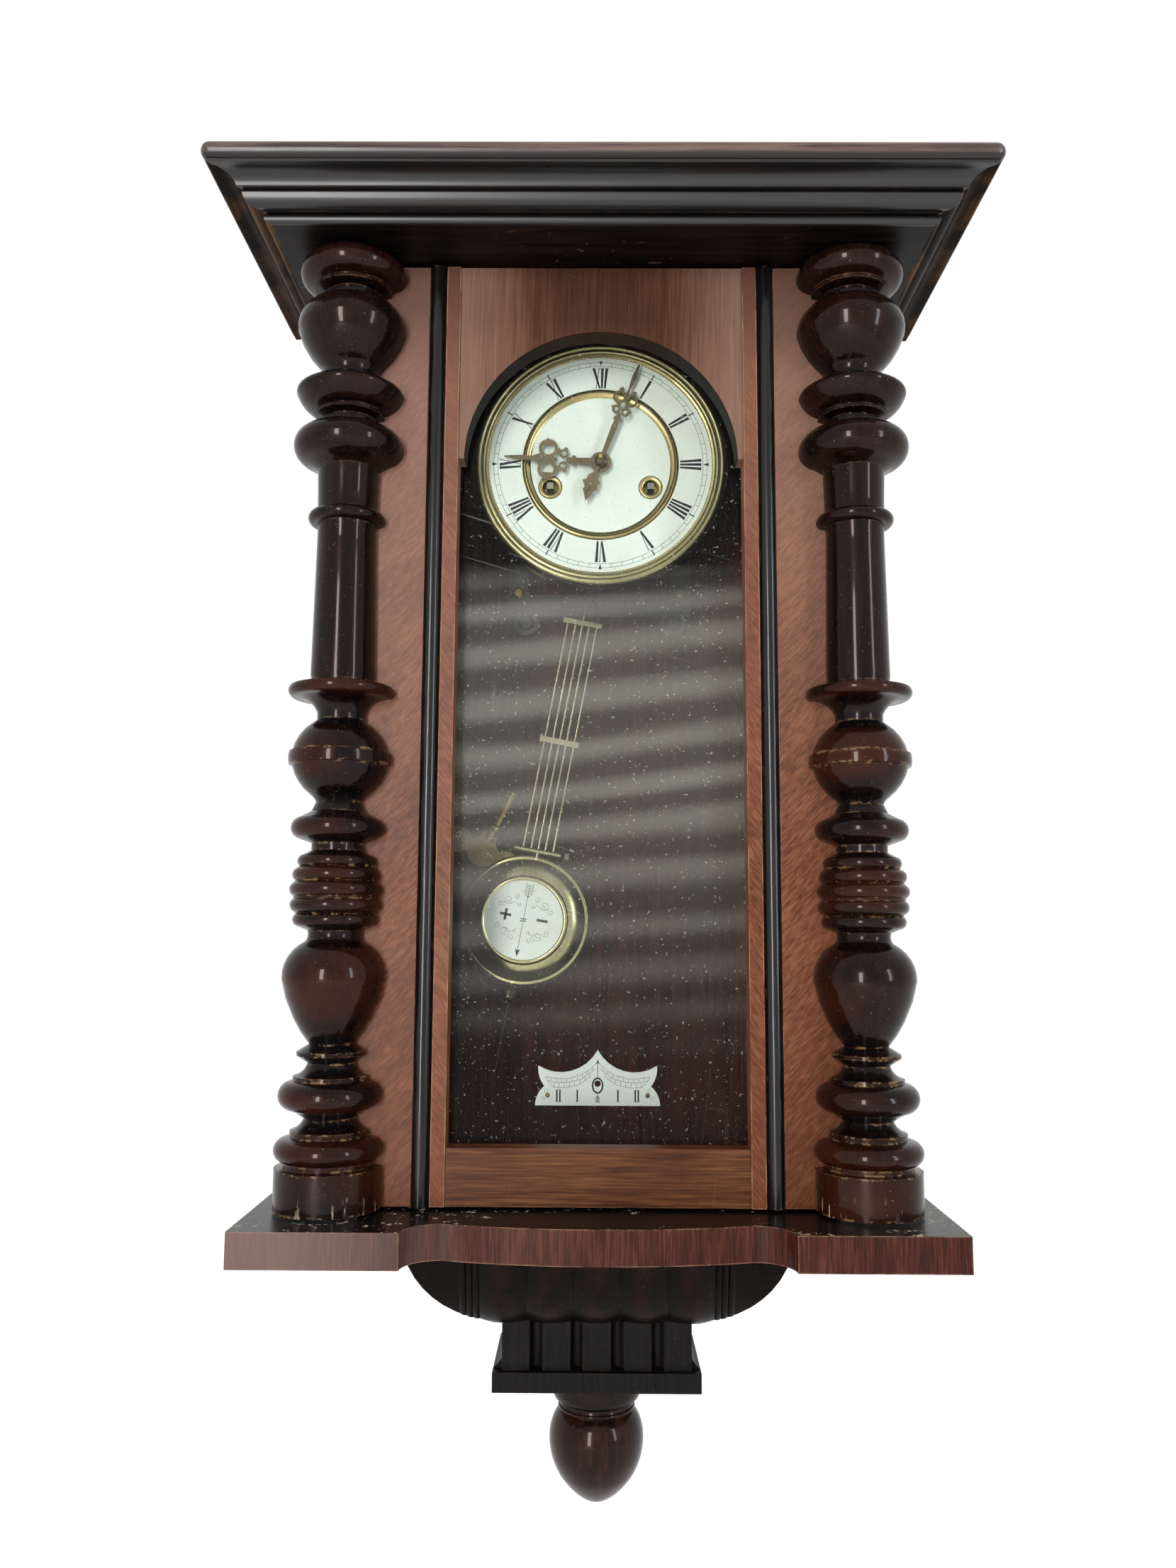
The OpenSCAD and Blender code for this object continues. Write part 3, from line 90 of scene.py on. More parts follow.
class Mat:
    """A node material with short calls for the nodes it is built of."""

    def __init__(self, name, **shader):
        self.m = bpy.data.materials.new(name)
        self.m.use_nodes = True
        self.t = self.m.node_tree
        self.t.nodes.clear()
        self.out = self.t.nodes.new("ShaderNodeOutputMaterial")
        self.b = self.t.nodes.new("ShaderNodeBsdfPrincipled")
        self.t.links.new(self.b.outputs[0], self.out.inputs[0])
        self.coords = self.t.nodes.new("ShaderNodeTexCoord")
        self.place = self.coords.outputs["Object"]
        for key, value in shader.items():
            self.set(key.replace("_", " "), value)

    def put(self, socket, value):
        if isinstance(value, bpy.types.NodeSocket):
            self.t.links.new(value, socket)
        else:
            socket.default_value = value

    def set(self, key, value):
        self.put(self.b.inputs[key], value)

    def space(self, scale=(1, 1, 1), turn=(0, 0, 0), move=(0, 0, 0)):
        """Object coordinates, turned in degrees and then scaled."""
        n = self.t.nodes.new("ShaderNodeMapping")
        n.vector_type = "TEXTURE"
        self.put(n.inputs["Vector"], self.place)
        n.inputs["Rotation"].default_value = [radians(a) for a in turn]
        n.inputs["Location"].default_value = move
        m = self.t.nodes.new("ShaderNodeMapping")
        self.put(m.inputs["Vector"], n.outputs[0])
        m.inputs["Scale"].default_value = scale
        return m.outputs[0]

    def noise(self, at, scale, detail=3, rough=0.55, twist=0):
        n = self.t.nodes.new("ShaderNodeTexNoise")
        self.put(n.inputs["Vector"], at)
        n.inputs["Scale"].default_value = scale
        n.inputs["Detail"].default_value = detail
        n.inputs["Roughness"].default_value = rough
        n.inputs["Distortion"].default_value = twist
        return n.outputs[0]

    def cells(self, at, scale):
        """Distance to the nearest border between random cells."""
        n = self.t.nodes.new("ShaderNodeTexVoronoi")
        n.feature = "DISTANCE_TO_EDGE"
        self.put(n.inputs["Vector"], at)
        n.inputs["Scale"].default_value = scale
        return n.outputs["Distance"]

    def wave(self, at, scale, twist, detail):
        """Soft bands that lie level."""
        n = self.t.nodes.new("ShaderNodeTexWave")
        n.bands_direction = "Z"
        self.put(n.inputs["Vector"], at)
        n.inputs["Scale"].default_value = scale
        n.inputs["Distortion"].default_value = twist
        n.inputs["Detail"].default_value = detail
        return n.outputs["Fac"]

    def calc(self, how, a, b=0.0, clamp=False):
        n = self.t.nodes.new("ShaderNodeMath")
        n.operation = how
        n.use_clamp = clamp
        self.put(n.inputs[0], a)
        self.put(n.inputs[1], b)
        return n.outputs[0]

    def span(self, value, low, high, a=0.0, b=1.0):
        """value from low to high becomes a to b, clamped."""
        n = self.t.nodes.new("ShaderNodeMapRange")
        self.put(n.inputs[0], value)
        for i, v in enumerate((low, high, a, b)):
            n.inputs[i + 1].default_value = v
        return n.outputs[0]

    def ramp(self, value, *stops):
        """Colours along value: each stop is (place, (r, g, b) in sRGB)."""
        n = self.t.nodes.new("ShaderNodeValToRGB")
        e = n.color_ramp.elements
        while len(e) < len(stops):
            e.new(1)
        for i, (place, rgb) in enumerate(stops):
            e[i].position = place
            e[i].color = colour(*rgb)
        self.put(n.inputs[0], value)
        return n.outputs[0]

    def mix(self, share, a, b):
        """Colour a where share is 0, b where it is 1; each a colour socket or an sRGB tuple."""
        n = self.t.nodes.new("ShaderNodeMix")
        n.data_type = "RGBA"
        self.put(n.inputs[0], share)
        self.put(n.inputs[6], colour(*a) if isinstance(a, tuple) else a)
        self.put(n.inputs[7], colour(*b) if isinstance(b, tuple) else b)
        return n.outputs[2]

    def bump(self, height, strength, depth):
        n = self.t.nodes.new("ShaderNodeBump")
        n.inputs["Strength"].default_value = strength
        n.inputs["Distance"].default_value = depth
        self.put(n.inputs["Height"], height)
        return n.outputs[0]

    def axis(self, i, of=None):
        """One coordinate of a place: 0, 1 or 2 for x, y or z."""
        n = self.t.nodes.new("ShaderNodeSeparateXYZ")
        self.put(n.inputs[0], of or self.place)
        return n.outputs[i]

    def towards(self, i, low, high):
        """1 where the surface faces along axis i, in the piece's own frame."""
        return self.span(self.axis(i, self.coords.outputs["Normal"]), low, high)

    def away(self, i, mid, j, level):
        """Distance from the line through coordinate mid on axis i and level on axis j."""
        a = self.calc("SUBTRACT", self.axis(i), mid)
        b = self.calc("SUBTRACT", self.axis(j), level)
        return self.calc("SQRT", self.calc("ADD", self.calc("MULTIPLY", a, a), self.calc("MULTIPLY", b, b)))

    def paint(self, base, rough):
        self.base, self.rough = base, rough
        self.set("Base Color", base)
        self.set("Roughness", rough)

    def over(self, mask, rgb, rough=None):
        """Lay a colour, and a roughness, over the surface where mask is 1."""
        matt = self.rough
        if rough is not None:
            n = self.t.nodes.new("ShaderNodeMix")
            self.put(n.inputs[0], mask)
            self.put(n.inputs[2], self.rough)
            self.put(n.inputs[3], rough)
            matt = n.outputs[0]
        self.paint(self.mix(mask, self.base, rgb), matt)

    def times(self, *values):
        product = values[0]
        for value in values[1:]:
            product = self.calc("MULTIPLY", product, value)
        return product

    def edge(self, radius, low=0.02, high=0.22):
        """1 on the solid's edges within radius, 0 on its flats."""
        n = self.t.nodes.new("ShaderNodeBevel")
        n.samples = 6
        n.inputs["Radius"].default_value = radius
        g = self.t.nodes.new("ShaderNodeNewGeometry")
        d = self.t.nodes.new("ShaderNodeVectorMath")
        d.operation = "DOT_PRODUCT"
        self.put(d.inputs[0], n.outputs[0])
        self.put(d.inputs[1], g.outputs["Normal"])
        return self.span(self.calc("SUBTRACT", 1.0, d.outputs["Value"]), low, high)


def wood(name, tones, *, pitch, draw, pores, gloss, spec, seed=0.0, grain=2, tilt=0, contrast=1.0, coat=0.0,
         relief=0.3, sheen=(255, 255, 255)):
    """Polished wood: dark, middle and light tone in fibres along the axis grain, leaning tilt degrees.

    pitch is how fine they are and draw how far they are drawn out; pores darkens the fine ones; gloss is the
    roughness, spec and sheen the strength and tint of what it mirrors, relief the depth of the grain.
    """
    k = Mat(name, Coat_Weight=coat, Coat_Roughness=0.06, Specular_IOR_Level=spec,
            Specular_Tint=colour(*sheen))
    k.shift = (seed, seed * 0.7, seed * 1.3)
    long, fine = [1, 1, 1], [1, 1, 1]
    long[grain], fine[grain] = draw, draw * 0.4
    lie = (0, tilt, 0)
    fibre = k.noise(k.space(long, lie, k.shift), pitch, 4, 0.6, 0.3)
    broad = k.noise(k.space(long, lie, k.shift), pitch * 0.3, 3, 0.5, 0.5)
    cloud = k.noise(k.space((1, 1, 0.45), (0, 38, 0), k.shift), 22, 3, 0.55, 0.6)
    fleck = k.noise(k.space(fine, lie, k.shift), pitch * 3, 2, 0.6)
    tone = 0.5
    for part, share in ((fibre, 0.9), (broad, 0.35), (cloud, 0.35), (fleck, 0.35)):
        tone = k.calc("ADD", tone, k.calc("MULTIPLY", k.calc("SUBTRACT", part, 0.5), share * contrast))
    base = k.ramp(tone, (0.36, tones[0]), (0.5, tones[1]), (0.64, tones[2]))
    pore = k.span(fleck, 0.56, 0.68)
    base = k.mix(k.calc("MULTIPLY", pore, pores), base, tuple(int(c * 0.5) for c in tones[0]))
    k.paint(base, k.span(fibre, 0.3, 0.7, gloss - 0.04, gloss + 0.06))
    k.set("Normal", k.bump(k.calc("SUBTRACT", fibre, k.calc("MULTIPLY", pore, 0.4)), relief, 0.0002))
    return k


def rub(k, tone, reach=0.0012, amount=0.5, rough=0.45):
    """Finish worn thin along the edges, in patches."""
    patch = k.noise(k.space(move=k.shift), 60, 5, 0.65)
    k.over(k.times(k.edge(reach), k.span(patch, 0.62 - amount * 0.3, 0.72 - amount * 0.2)), tone, rough)


def chip(k, tone, reach=0.002, amount=0.5, scale=230, stretch=(1, 1, 1), where=1.0):
    """Finish chipped off down to bare wood near the edges, with hard rims."""
    spot = k.noise(k.space(stretch, move=k.shift), scale, 4, 0.7)
    spot = k.span(spot, 0.64 - amount * 0.1, 0.655 - amount * 0.09)
    k.over(k.times(k.edge(reach, 0.01, 0.1), spot, where), tone, 0.6)


def specks(k, tone, amount, scale=900):
    """Dust specks and tiny chips strewn over the surface."""
    k.over(k.calc("MULTIPLY", k.span(k.noise(k.place, scale, 2, 0.6), 0.7, 0.74), amount), tone)


def scratches(k, tone, amount, scale=480):
    """Thin scratches in two directions."""
    upright = k.noise(k.space((1, 1, 0.03), (0, 6, 0), (1, 4, 2)), scale, 1, 0.5)
    slant = k.noise(k.space((0.03, 1, 1), (0, 17, 0), (1, 2, 5)), scale * 0.8, 1, 0.5)
    some = k.span(k.noise(k.space(move=(5, 5, 5)), 14, 2), 0.45, 0.65)
    k.over(k.times(k.span(k.calc("MAXIMUM", upright, slant), 0.72, 0.76), some, amount), tone, 0.5)


def metal(name, base, dark, rough, stain, spots, spot_colour=(60, 48, 30), brushed=None, seed=0.0,
          metallic=1.0, bright=None, bright_r=0.0006):
    """Old metal: patina clouds, small spots, edges rubbed bright, and fine lines along the axis brushed."""
    k = Mat(name, Metallic=metallic)
    shift = (seed, seed * 1.7, seed * 0.6)
    cloud = k.noise(k.space(move=shift), 38, 5, 0.62, 0.3)
    grit = k.noise(k.space(move=shift), 420, 3, 0.6)
    tone = k.calc("ADD", k.calc("MULTIPLY", cloud, 0.75), k.calc("MULTIPLY", grit, 0.25))
    share = k.span(tone, 0.5 - 0.2 * stain, 0.66 + 0.1 * (1 - stain))
    col = k.mix(share, base, dark)
    spot = k.span(k.noise(k.space(move=shift), 260, 3, 0.7), 0.66 - 0.05 * spots, 0.7)
    col = k.mix(k.calc("MULTIPLY", spot, spots), col, spot_colour)
    if bright:
        col = k.mix(k.calc("MULTIPLY", k.edge(bright_r, 0.01, 0.15), 0.7), col, bright)
    r = k.span(tone, 0.3, 0.7, rough - 0.07, rough + 0.14)
    height = grit
    if brushed is not None:
        line = [1, 1, 1]
        line[brushed] = 0.03
        hair = k.noise(k.space(line, move=shift), 1400, 2, 0.6)
        height = k.calc("ADD", grit, hair)
        r = k.calc("ADD", r, k.span(hair, 0.3, 0.7, -0.04, 0.06))
    k.paint(col, r)
    k.set("Normal", k.bump(height, 0.18, 0.00008))
    return k


def enamel(name, base, shade, seed=0.0):
    """White glazed print: faint clouds, hair cracks and dust specks under a gloss coat."""
    k = Mat(name, Coat_Weight=0.5, Coat_Roughness=0.12, Specular_IOR_Level=0.4)
    shift = (seed, seed, seed)
    cloud = k.noise(k.space(move=shift), 26, 4, 0.55, 0.5)
    crack = k.span(k.cells(k.space(move=shift), 55), 0.0, 0.006, 1, 0)
    some = k.span(k.noise(k.space(move=shift), 22, 2), 0.58, 0.68)
    speck = k.span(k.noise(k.space(move=shift), 520, 2, 0.6), 0.71, 0.75)
    col = k.mix(k.span(cloud, 0.35, 0.7, 0, 0.8), base, shade)
    col = k.mix(k.calc("MULTIPLY", k.calc("MULTIPLY", crack, some), 0.28), col, (150, 146, 132))
    col = k.mix(k.calc("MULTIPLY", speck, 0.35), col, (120, 112, 96))
    k.set("Base Color", col)
    k.set("Roughness", k.span(cloud, 0.3, 0.7, 0.24, 0.34))
    k.set("Normal", k.bump(cloud, 0.1, 0.0003))
    return k


def ink(name, tone):
    """Printed ink, a little worn."""
    k = Mat(name, Specular_IOR_Level=0.25)
    wear = k.noise(k.place, 900, 3, 0.6)
    k.set("Base Color", k.mix(k.span(wear, 0.4, 0.75, 0, 0.7), tone, tuple(min(255, c + 45) for c in tone)))
    k.set("Roughness", k.span(wear, 0.3, 0.7, 0.35, 0.5))
    k.set("Normal", k.bump(wear, 0.1, 0.00003))
    return k


def old_glass(name):
    """Clear pane with a faint mirror; a pale film in streaky bands below the dial, partly wiped dust and
    partly a painted reflection of the room; specks and scratches.
    """
    k = Mat(name)
    t = k.t
    clear = t.nodes.new("ShaderNodeBsdfTransparent")
    clear.inputs[0].default_value = (0.96, 0.98, 0.965, 1)
    gloss = t.nodes.new("ShaderNodeBsdfGlossy")
    film = t.nodes.new("ShaderNodeBsdfDiffuse")
    ripple = k.noise(k.space((0.3, 1, 1), (0, 4, 0)), 20, 3, 0.5, 0.8)
    k.put(gloss.inputs["Roughness"], k.span(ripple, 0.3, 0.7, 0.01, 0.03))
    k.put(gloss.inputs["Normal"], k.bump(ripple, 0.1, 0.0005))
    k.put(film.inputs["Color"], k.mix(ripple, (206, 202, 190), (178, 174, 162)))
    facing = t.nodes.new("ShaderNodeFresnel")
    facing.inputs["IOR"].default_value = 1.14
    body = t.nodes.new("ShaderNodeMixShader")
    k.put(body.inputs[0], facing.outputs[0])
    t.links.new(clear.outputs[0], body.inputs[1])
    t.links.new(gloss.outputs[0], body.inputs[2])
    # a pale film in streaky bands below the dial: partly dust, partly a painted reflection of the room
    film_low, film_high = (-0.40, -0.25), (-0.13, -0.16)
    streak = k.span(k.wave(k.space((0.16, 1, 1), (0, -5, 0)), 13, 5, 3), 0.15, 0.95, 0.35, 1)
    height = k.axis(2)
    dust_and_reflection_band = k.calc("MULTIPLY", k.span(height, *film_low), k.span(height, *film_high))
    dust_and_reflection_share = k.calc("ADD", 0.004, k.times(streak, dust_and_reflection_band, 0.178))
    speck = k.span(k.noise(k.space(move=(3, 1, 2)), 520, 2, 0.6), 0.685, 0.72)
    upright = k.noise(k.space((1, 1, 0.03), (0, 4, 0)), 700, 1, 0.5)
    slant = k.noise(k.space((0.03, 1, 1), (0, 17, 0), (1, 2, 5)), 520, 1, 0.5)
    some = k.span(k.noise(k.space(move=(5, 5, 5)), 14, 2), 0.45, 0.7)
    marks = k.calc("MULTIPLY", k.span(k.calc("MAXIMUM", upright, slant), 0.73, 0.77), some)
    dust_and_reflection_share = k.calc("ADD", dust_and_reflection_share, k.calc("MULTIPLY", marks, 0.2))
    dust_and_reflection_share = k.calc("ADD", dust_and_reflection_share, k.calc("MULTIPLY", speck, 0.4), clamp=True)
    whole = t.nodes.new("ShaderNodeMixShader")
    k.put(whole.inputs[0], dust_and_reflection_share)
    t.links.new(body.outputs[0], whole.inputs[1])
    t.links.new(film.outputs[0], whole.inputs[2])
    t.links.new(whole.outputs[0], k.out.inputs[0])
    t.nodes.remove(k.b)
    return k


TAN = (150, 118, 80)
RED = [(84, 43, 25), (114, 65, 41), (138, 86, 60)]
TURNED_SHEEN = (220, 160, 136)

# Places on the clock, in metres, where a finish or a painted light and shade changes: from and to
ARCH_Z, ARCH_RIM = -0.0777, (0.0747, 0.0751)
LOBE_PITCH, LOBES_END = 0.0255, (0.066, 0.06)
COLUMN_NECK_SHADE, COLUMN_BULGE_GLOW = (0.0165, 0.0135), (0.018, 0.0235)
COLUMN_LOW, COLUMN_CHIPPED, COLUMN_FOOT = (-0.12, -0.22), (-0.2, -0.215), (-0.459, -0.473)
FINIAL_TOP, POINTER_TOP = (-0.6, -0.592), (-0.356, -0.364)


def fade_and_painted_light(k, deep, pale):
    """Mahogany paler towards the top of the case, a painted reflection; deeper towards its foot; dark under
    the cornice, a painted shadow of the cornice.
    """
    # paler towards the top: a painted reflection
    k.over(k.span(k.axis(2), -0.3, -0.02, 0, 0.6), pale)
    k.over(k.span(k.axis(2), -0.28, -0.54, 0, 0.6), deep)
    # dark just under the cornice: a painted shadow of the cornice
    k.over(k.span(k.axis(2), -0.04, 0.012, 0, 0.6), (66, 38, 28))


# Door: mahogany
k = mahogany_up = wood("mahogany_up", RED, tilt=42, pitch=900, draw=0.16, pores=0.55, gloss=0.36, spec=0.16)
# the pale tone is a painted reflection; the call also paints the cornice's shadow
fade_and_painted_light(k, (96, 50, 25), (148, 119, 105))
rub(k, (176, 132, 98), 0.001, 0.45)
specks(k, (190, 176, 156), 0.35)

k = mahogany_strip = wood("mahogany_strip", RED, tilt=-38, pitch=900, draw=0.16, contrast=0.9, pores=0.55,
                          gloss=0.34, spec=0.16, seed=3.1)
# the pale tone is a painted reflection; the call also paints the cornice's shadow
fade_and_painted_light(k, (114, 58, 30), (132, 92, 76))
rub(k, (186, 146, 112), 0.0012, 0.75)

# Top rail: paler towards its ends, a painted sheen; dark at the arch's edge; dark above its middle, a
# painted shadow of the cornice
k = mahogany_top = wood("mahogany_top", [(80, 50, 36), (106, 71, 53), (126, 88, 68)], tilt=1, pitch=800,
                        draw=0.03, contrast=0.8, pores=0.55, gloss=0.4, spec=0.06, seed=5.2)
off_centre = k.calc("ABSOLUTE", k.axis(0))
# paler towards both ends: a painted sheen
k.over(k.span(off_centre, 0.035, 0.085, 0, 0.55), (158, 128, 112))
k.over(k.span(k.away(0, 0.0, 2, ARCH_Z), *ARCH_RIM, 1, 0), (8, 6, 5), 0.5)
# dark at the top of the rail's middle: a painted shadow of the cornice
cornice_shadow_across = k.span(off_centre, 0.06, 0.02, 0.2, 0.75)
k.over(k.times(k.span(k.axis(2), -0.045, 0.004), cornice_shadow_across), (52, 29, 17))
scratches(k, (150, 116, 92), 0.3)

k = mahogany_cross = wood("mahogany_cross", [(62, 30, 14), (92, 52, 28), (116, 72, 42)], grain=0, pitch=700,
                          draw=0.04, contrast=0.8, pores=0.5, gloss=0.34, spec=0.14, seed=7.7)
rub(k, (140, 96, 62), 0.001, 0.5)
scratches(k, (150, 110, 78), 0.3)

# Cornice and soffit: ebonised, worn through on the sides
k = cornice_black = wood("cornice_black", [(8, 7, 7), (13, 11, 11), (24, 17, 15)], grain=0, pitch=300,
                         draw=0.03, pores=0.2, gloss=0.34, spec=0.6, relief=0.12, seed=1.3)
rub(k, (66, 42, 32), 0.0009, 0.5, 0.35)
specks(k, (120, 110, 100), 0.3)

k = cornice_side = wood("cornice_side", [(34, 20, 10), (66, 42, 20), (100, 68, 34)], grain=1, pitch=260,
                        draw=0.05, pores=0.3, gloss=0.4, spec=0.03, relief=0.15, seed=1.9)
k.over(k.span(k.noise(k.place, 24, 4, 0.6), 0.46, 0.56), (20, 13, 9))
rub(k, (150, 112, 66), 0.001, 0.6)

k = soffit = wood("soffit", [(9, 7, 6), (15, 11, 9), (30, 20, 15)], grain=0, pitch=300, draw=0.04,
                  contrast=1.2, pores=0.3, gloss=0.42, spec=0.12, seed=2.6)
scratches(k, (104, 74, 48), 0.8, 300)
specks(k, (96, 72, 52), 0.5)

# Bracket: black, with brown painted over the front of its lobes' crowns in patches, a painted highlight that
# shows their relief
k = bracket_black = wood("bracket_black", [(6, 5, 5), (9, 8, 7), (14, 11, 10)], grain=0, pitch=500,
                         draw=0.08, contrast=0.8, pores=0.1, gloss=0.32, spec=0.1, seed=3.6,
                         sheen=(236, 210, 198))
# brown on the front of the lobes' crowns, dark between them: painted light and shade for the lobes' relief
lit_crown = k.calc("COSINE", k.calc("MULTIPLY", k.axis(0), 2 * pi / LOBE_PITCH))
patchy = k.span(k.noise(k.place, 62, 2, 0.5), 0.36, 0.64)
lit_crown = k.times(k.span(lit_crown, -0.5, 0.9), k.towards(1, -0.3, -0.8), patchy,
                k.span(k.calc("ABSOLUTE", k.axis(0)), *LOBES_END))
k.over(k.times(lit_crown, 0.85), (40, 22, 19), 0.28)
rub(k, (46, 33, 27), 0.0008, 0.35)
specks(k, (120, 112, 104), 0.3)

k = block_black = wood("block_black", [(15, 14, 14), (21, 19, 18), (28, 25, 24)], pitch=500, draw=0.08,
                       contrast=0.6, pores=0.1, gloss=0.44, spec=0.08, seed=3.9)
rub(k, (70, 50, 40), 0.0008, 0.45)
specks(k, (130, 120, 110), 0.3)

k = bead_black = wood("bead_black", [(8, 7, 7), (13, 11, 11), (22, 17, 15)], pitch=400, draw=0.03, pores=0.2,
                      gloss=0.2, spec=0.35, relief=0.15, seed=2.3)
chip(k, (132, 92, 62), 0.0018, 0.7, 300, (1, 1, 0.4))
k.over(k.calc("MULTIPLY", k.edge(0.0006), 0.35), (84, 58, 44))

# Turned wood: black in its necks, a painted shade; redder on its bulges, a painted warm glow; rubbed on its
# edges and scraped at its foot
low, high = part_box("right_column")
turn_x, turn_r = (low[0] + high[0]) / 2, (high[0] - low[0]) / 2
k = turned = wood("turned", [(8, 4, 3), (15, 8, 5), (27, 14, 9)], pitch=300, draw=0.06, pores=0.25,
                  gloss=0.24, spec=0.12, coat=0.23, relief=0.06, seed=4.4, sheen=TURNED_SHEEN)
beside = k.calc("SUBTRACT", k.calc("ABSOLUTE", k.axis(0)), turn_x)
behind = k.calc("SUBTRACT", k.axis(1), low[1] + turn_r)
reach = k.calc("SQRT", k.calc("ADD", k.times(beside, beside), k.times(behind, behind)))
# redder where the bulges stand out: a painted warm glow of light
patchy = k.span(k.noise(k.space((1, 1, 1.6), move=(2, 2, 2)), 15, 2), 0.42, 0.62)
lower = k.span(k.axis(2), *COLUMN_LOW, 0.3, 1)
k.over(k.times(k.span(reach, *COLUMN_BULGE_GLOW), patchy, lower, 0.65), (62, 26, 14))
# near-black in the necks: painted shade in the recesses
k.over(k.span(reach, *COLUMN_NECK_SHADE, 0, 0.9), (13, 12, 13))
chip(k, TAN, 0.0024, 1.0, 170, (1, 1, 1.6), k.span(k.axis(2), *COLUMN_CHIPPED, 0.15, 1))
scrape = k.noise(k.space((1, 1, 0.14), move=(8, 1, 3)), 420, 3, 0.6)
few = k.span(k.noise(k.space(move=(4, 7, 1)), 60, 1), 0.46, 0.56)
k.over(k.times(k.span(k.axis(2), *COLUMN_FOOT), k.span(scrape, 0.6, 0.615), few), (190, 168, 140), 0.5)
rub(k, (118, 78, 52), 0.0011, 0.45, 0.3)
specks(k, (170, 150, 128), 0.4)

k = finial_wood = wood("finial_wood", [(18, 9, 6), (31, 16, 10), (48, 26, 16)], pitch=260, draw=0.05,
                       pores=0.25, gloss=0.26, spec=0.13, coat=0.2, relief=0.06, seed=8.8,
                       sheen=TURNED_SHEEN)
k.over(k.span(k.axis(2), *FINIAL_TOP), (14, 12, 11))
rub(k, (110, 74, 50), 0.001, 0.5)
specks(k, (150, 130, 108), 0.3)

k = slab_wood = wood("slab_wood", [(52, 36, 30), (82, 62, 54), (108, 88, 78)], grain=0, pitch=420, draw=0.03,
                     pores=0.4, gloss=0.3, spec=0.45, seed=6.1)
k.over(k.towards(2, -0.3, -0.6), (22, 15, 12))
rub(k, (146, 106, 80), 0.0018, 0.8)
chip(k, (168, 130, 96), 0.0016, 0.35)

# Shelf: veneered front paler towards its left end, a painted reflection; black top with crumbs on it, dark
# underside
k = veneer = wood("veneer", [(48, 20, 14), (66, 31, 22), (90, 49, 38)], pitch=900, draw=0.06, contrast=0.9,
                  pores=0.45, gloss=0.3, spec=0.13, seed=9.9)
# paler towards the left end of the front: a painted reflection
k.over(k.span(k.axis(0), -0.06, -0.15, 0, 0.45), (150, 126, 120))
rub(k, (160, 118, 92), 0.0013, 0.7)
chip(k, TAN, 0.0012, 0.35)
k.over(k.towards(2, 0.5, 0.7), (17, 13, 11), 0.24)
crumb = k.times(k.span(k.noise(k.place, 150, 4, 0.75), 0.6, 0.615), k.towards(2, 0.5, 0.7),
                k.span(k.noise(k.place, 22, 2), 0.48, 0.56))
k.over(crumb, (222, 206, 176), 0.6)
k.over(k.towards(2, -0.5, -0.7), (24, 17, 14), 0.5)

k = inside = wood("inside", [(34, 15, 10), (50, 23, 15), (66, 32, 22)], pitch=560, draw=0.03, pores=0.5,
                  gloss=0.5, spec=0.01, seed=11.0)
scratches(k, (128, 90, 68), 0.35, 360)
specks(k, (150, 120, 100), 0.5, 800)

k = case_wood = wood("case_wood", [(50, 27, 19), (78, 46, 33), (104, 66, 48)], pitch=480, draw=0.05,
                     pores=0.5, gloss=0.34, spec=0.25, seed=12.6)
rub(k, (140, 100, 72), 0.0014, 0.5)
scratches(k, (140, 104, 78), 0.3)

# Enamel, metals, glass and ink
white = enamel("white", (238, 242, 233), (224, 229, 218))
# a brightened copy of the dial's enamel: painted light that makes up for the shade deep in the case
beat_white_brightened = enamel("beat_white_brightened", (252, 254, 248), (242, 246, 238), seed=2.0)
bezel_metal = metal("bezel_metal", (158, 148, 112), (112, 100, 72), rough=0.3, stain=0.6, spots=0.4,
                    seed=1.0, bright=(222, 202, 140), bright_r=0.0005)
gilt = metal("gilt", (172, 154, 108), (122, 108, 76), rough=0.28, stain=0.4, spots=0.3, seed=2.0)
aged = metal("aged", (134, 112, 68), (80, 66, 40), rough=0.34, stain=0.6, spots=0.6, seed=3.0,
             bright=(196, 172, 116))
plate = metal("plate", (176, 150, 92), (132, 110, 66), rough=0.34, stain=0.4, spots=0.3, brushed=0, seed=4.0)
bob_metal = metal("bob_metal", (176, 166, 124), (112, 108, 80), rough=0.18, stain=0.5, spots=0.35, seed=5.0,
                  bright=(216, 200, 144), bright_r=0.0009)
hand_steel = metal("hand_steel", (112, 99, 78), (72, 62, 48), rough=0.4, stain=0.6, spots=0.5, brushed=2,
                   seed=6.0, metallic=0.8, bright=(164, 148, 118), bright_r=0.0003)
steel = metal("steel", (128, 126, 118), (88, 84, 76), rough=0.36, stain=0.5, spots=0.4, seed=7.0,
              metallic=0.95)
rod = metal("rod", (144, 136, 114), (92, 82, 62), rough=0.26, stain=0.6, spots=0.5, brushed=2, seed=8.0)
rod.over(rod.span(rod.axis(2), *POINTER_TOP), (44, 38, 30))
blued = metal("blued", (62, 70, 92), (36, 40, 54), rough=0.3, stain=0.5, spots=0.3, seed=9.0)
iron = metal("iron", (52, 48, 42), (30, 28, 26), rough=0.5, stain=0.5, spots=0.5, spot_colour=(92, 66, 46),
             seed=10.0, metallic=0.35)
nut = metal("nut", (62, 52, 38), (34, 29, 23), rough=0.34, stain=0.5, spots=0.4, spot_colour=(20, 17, 14),
            seed=11.0, bright=(150, 128, 84))
pane = old_glass("pane")
black_ink = ink("black_ink", (20, 20, 24))
grey_ink = ink("grey_ink", (112, 114, 110))

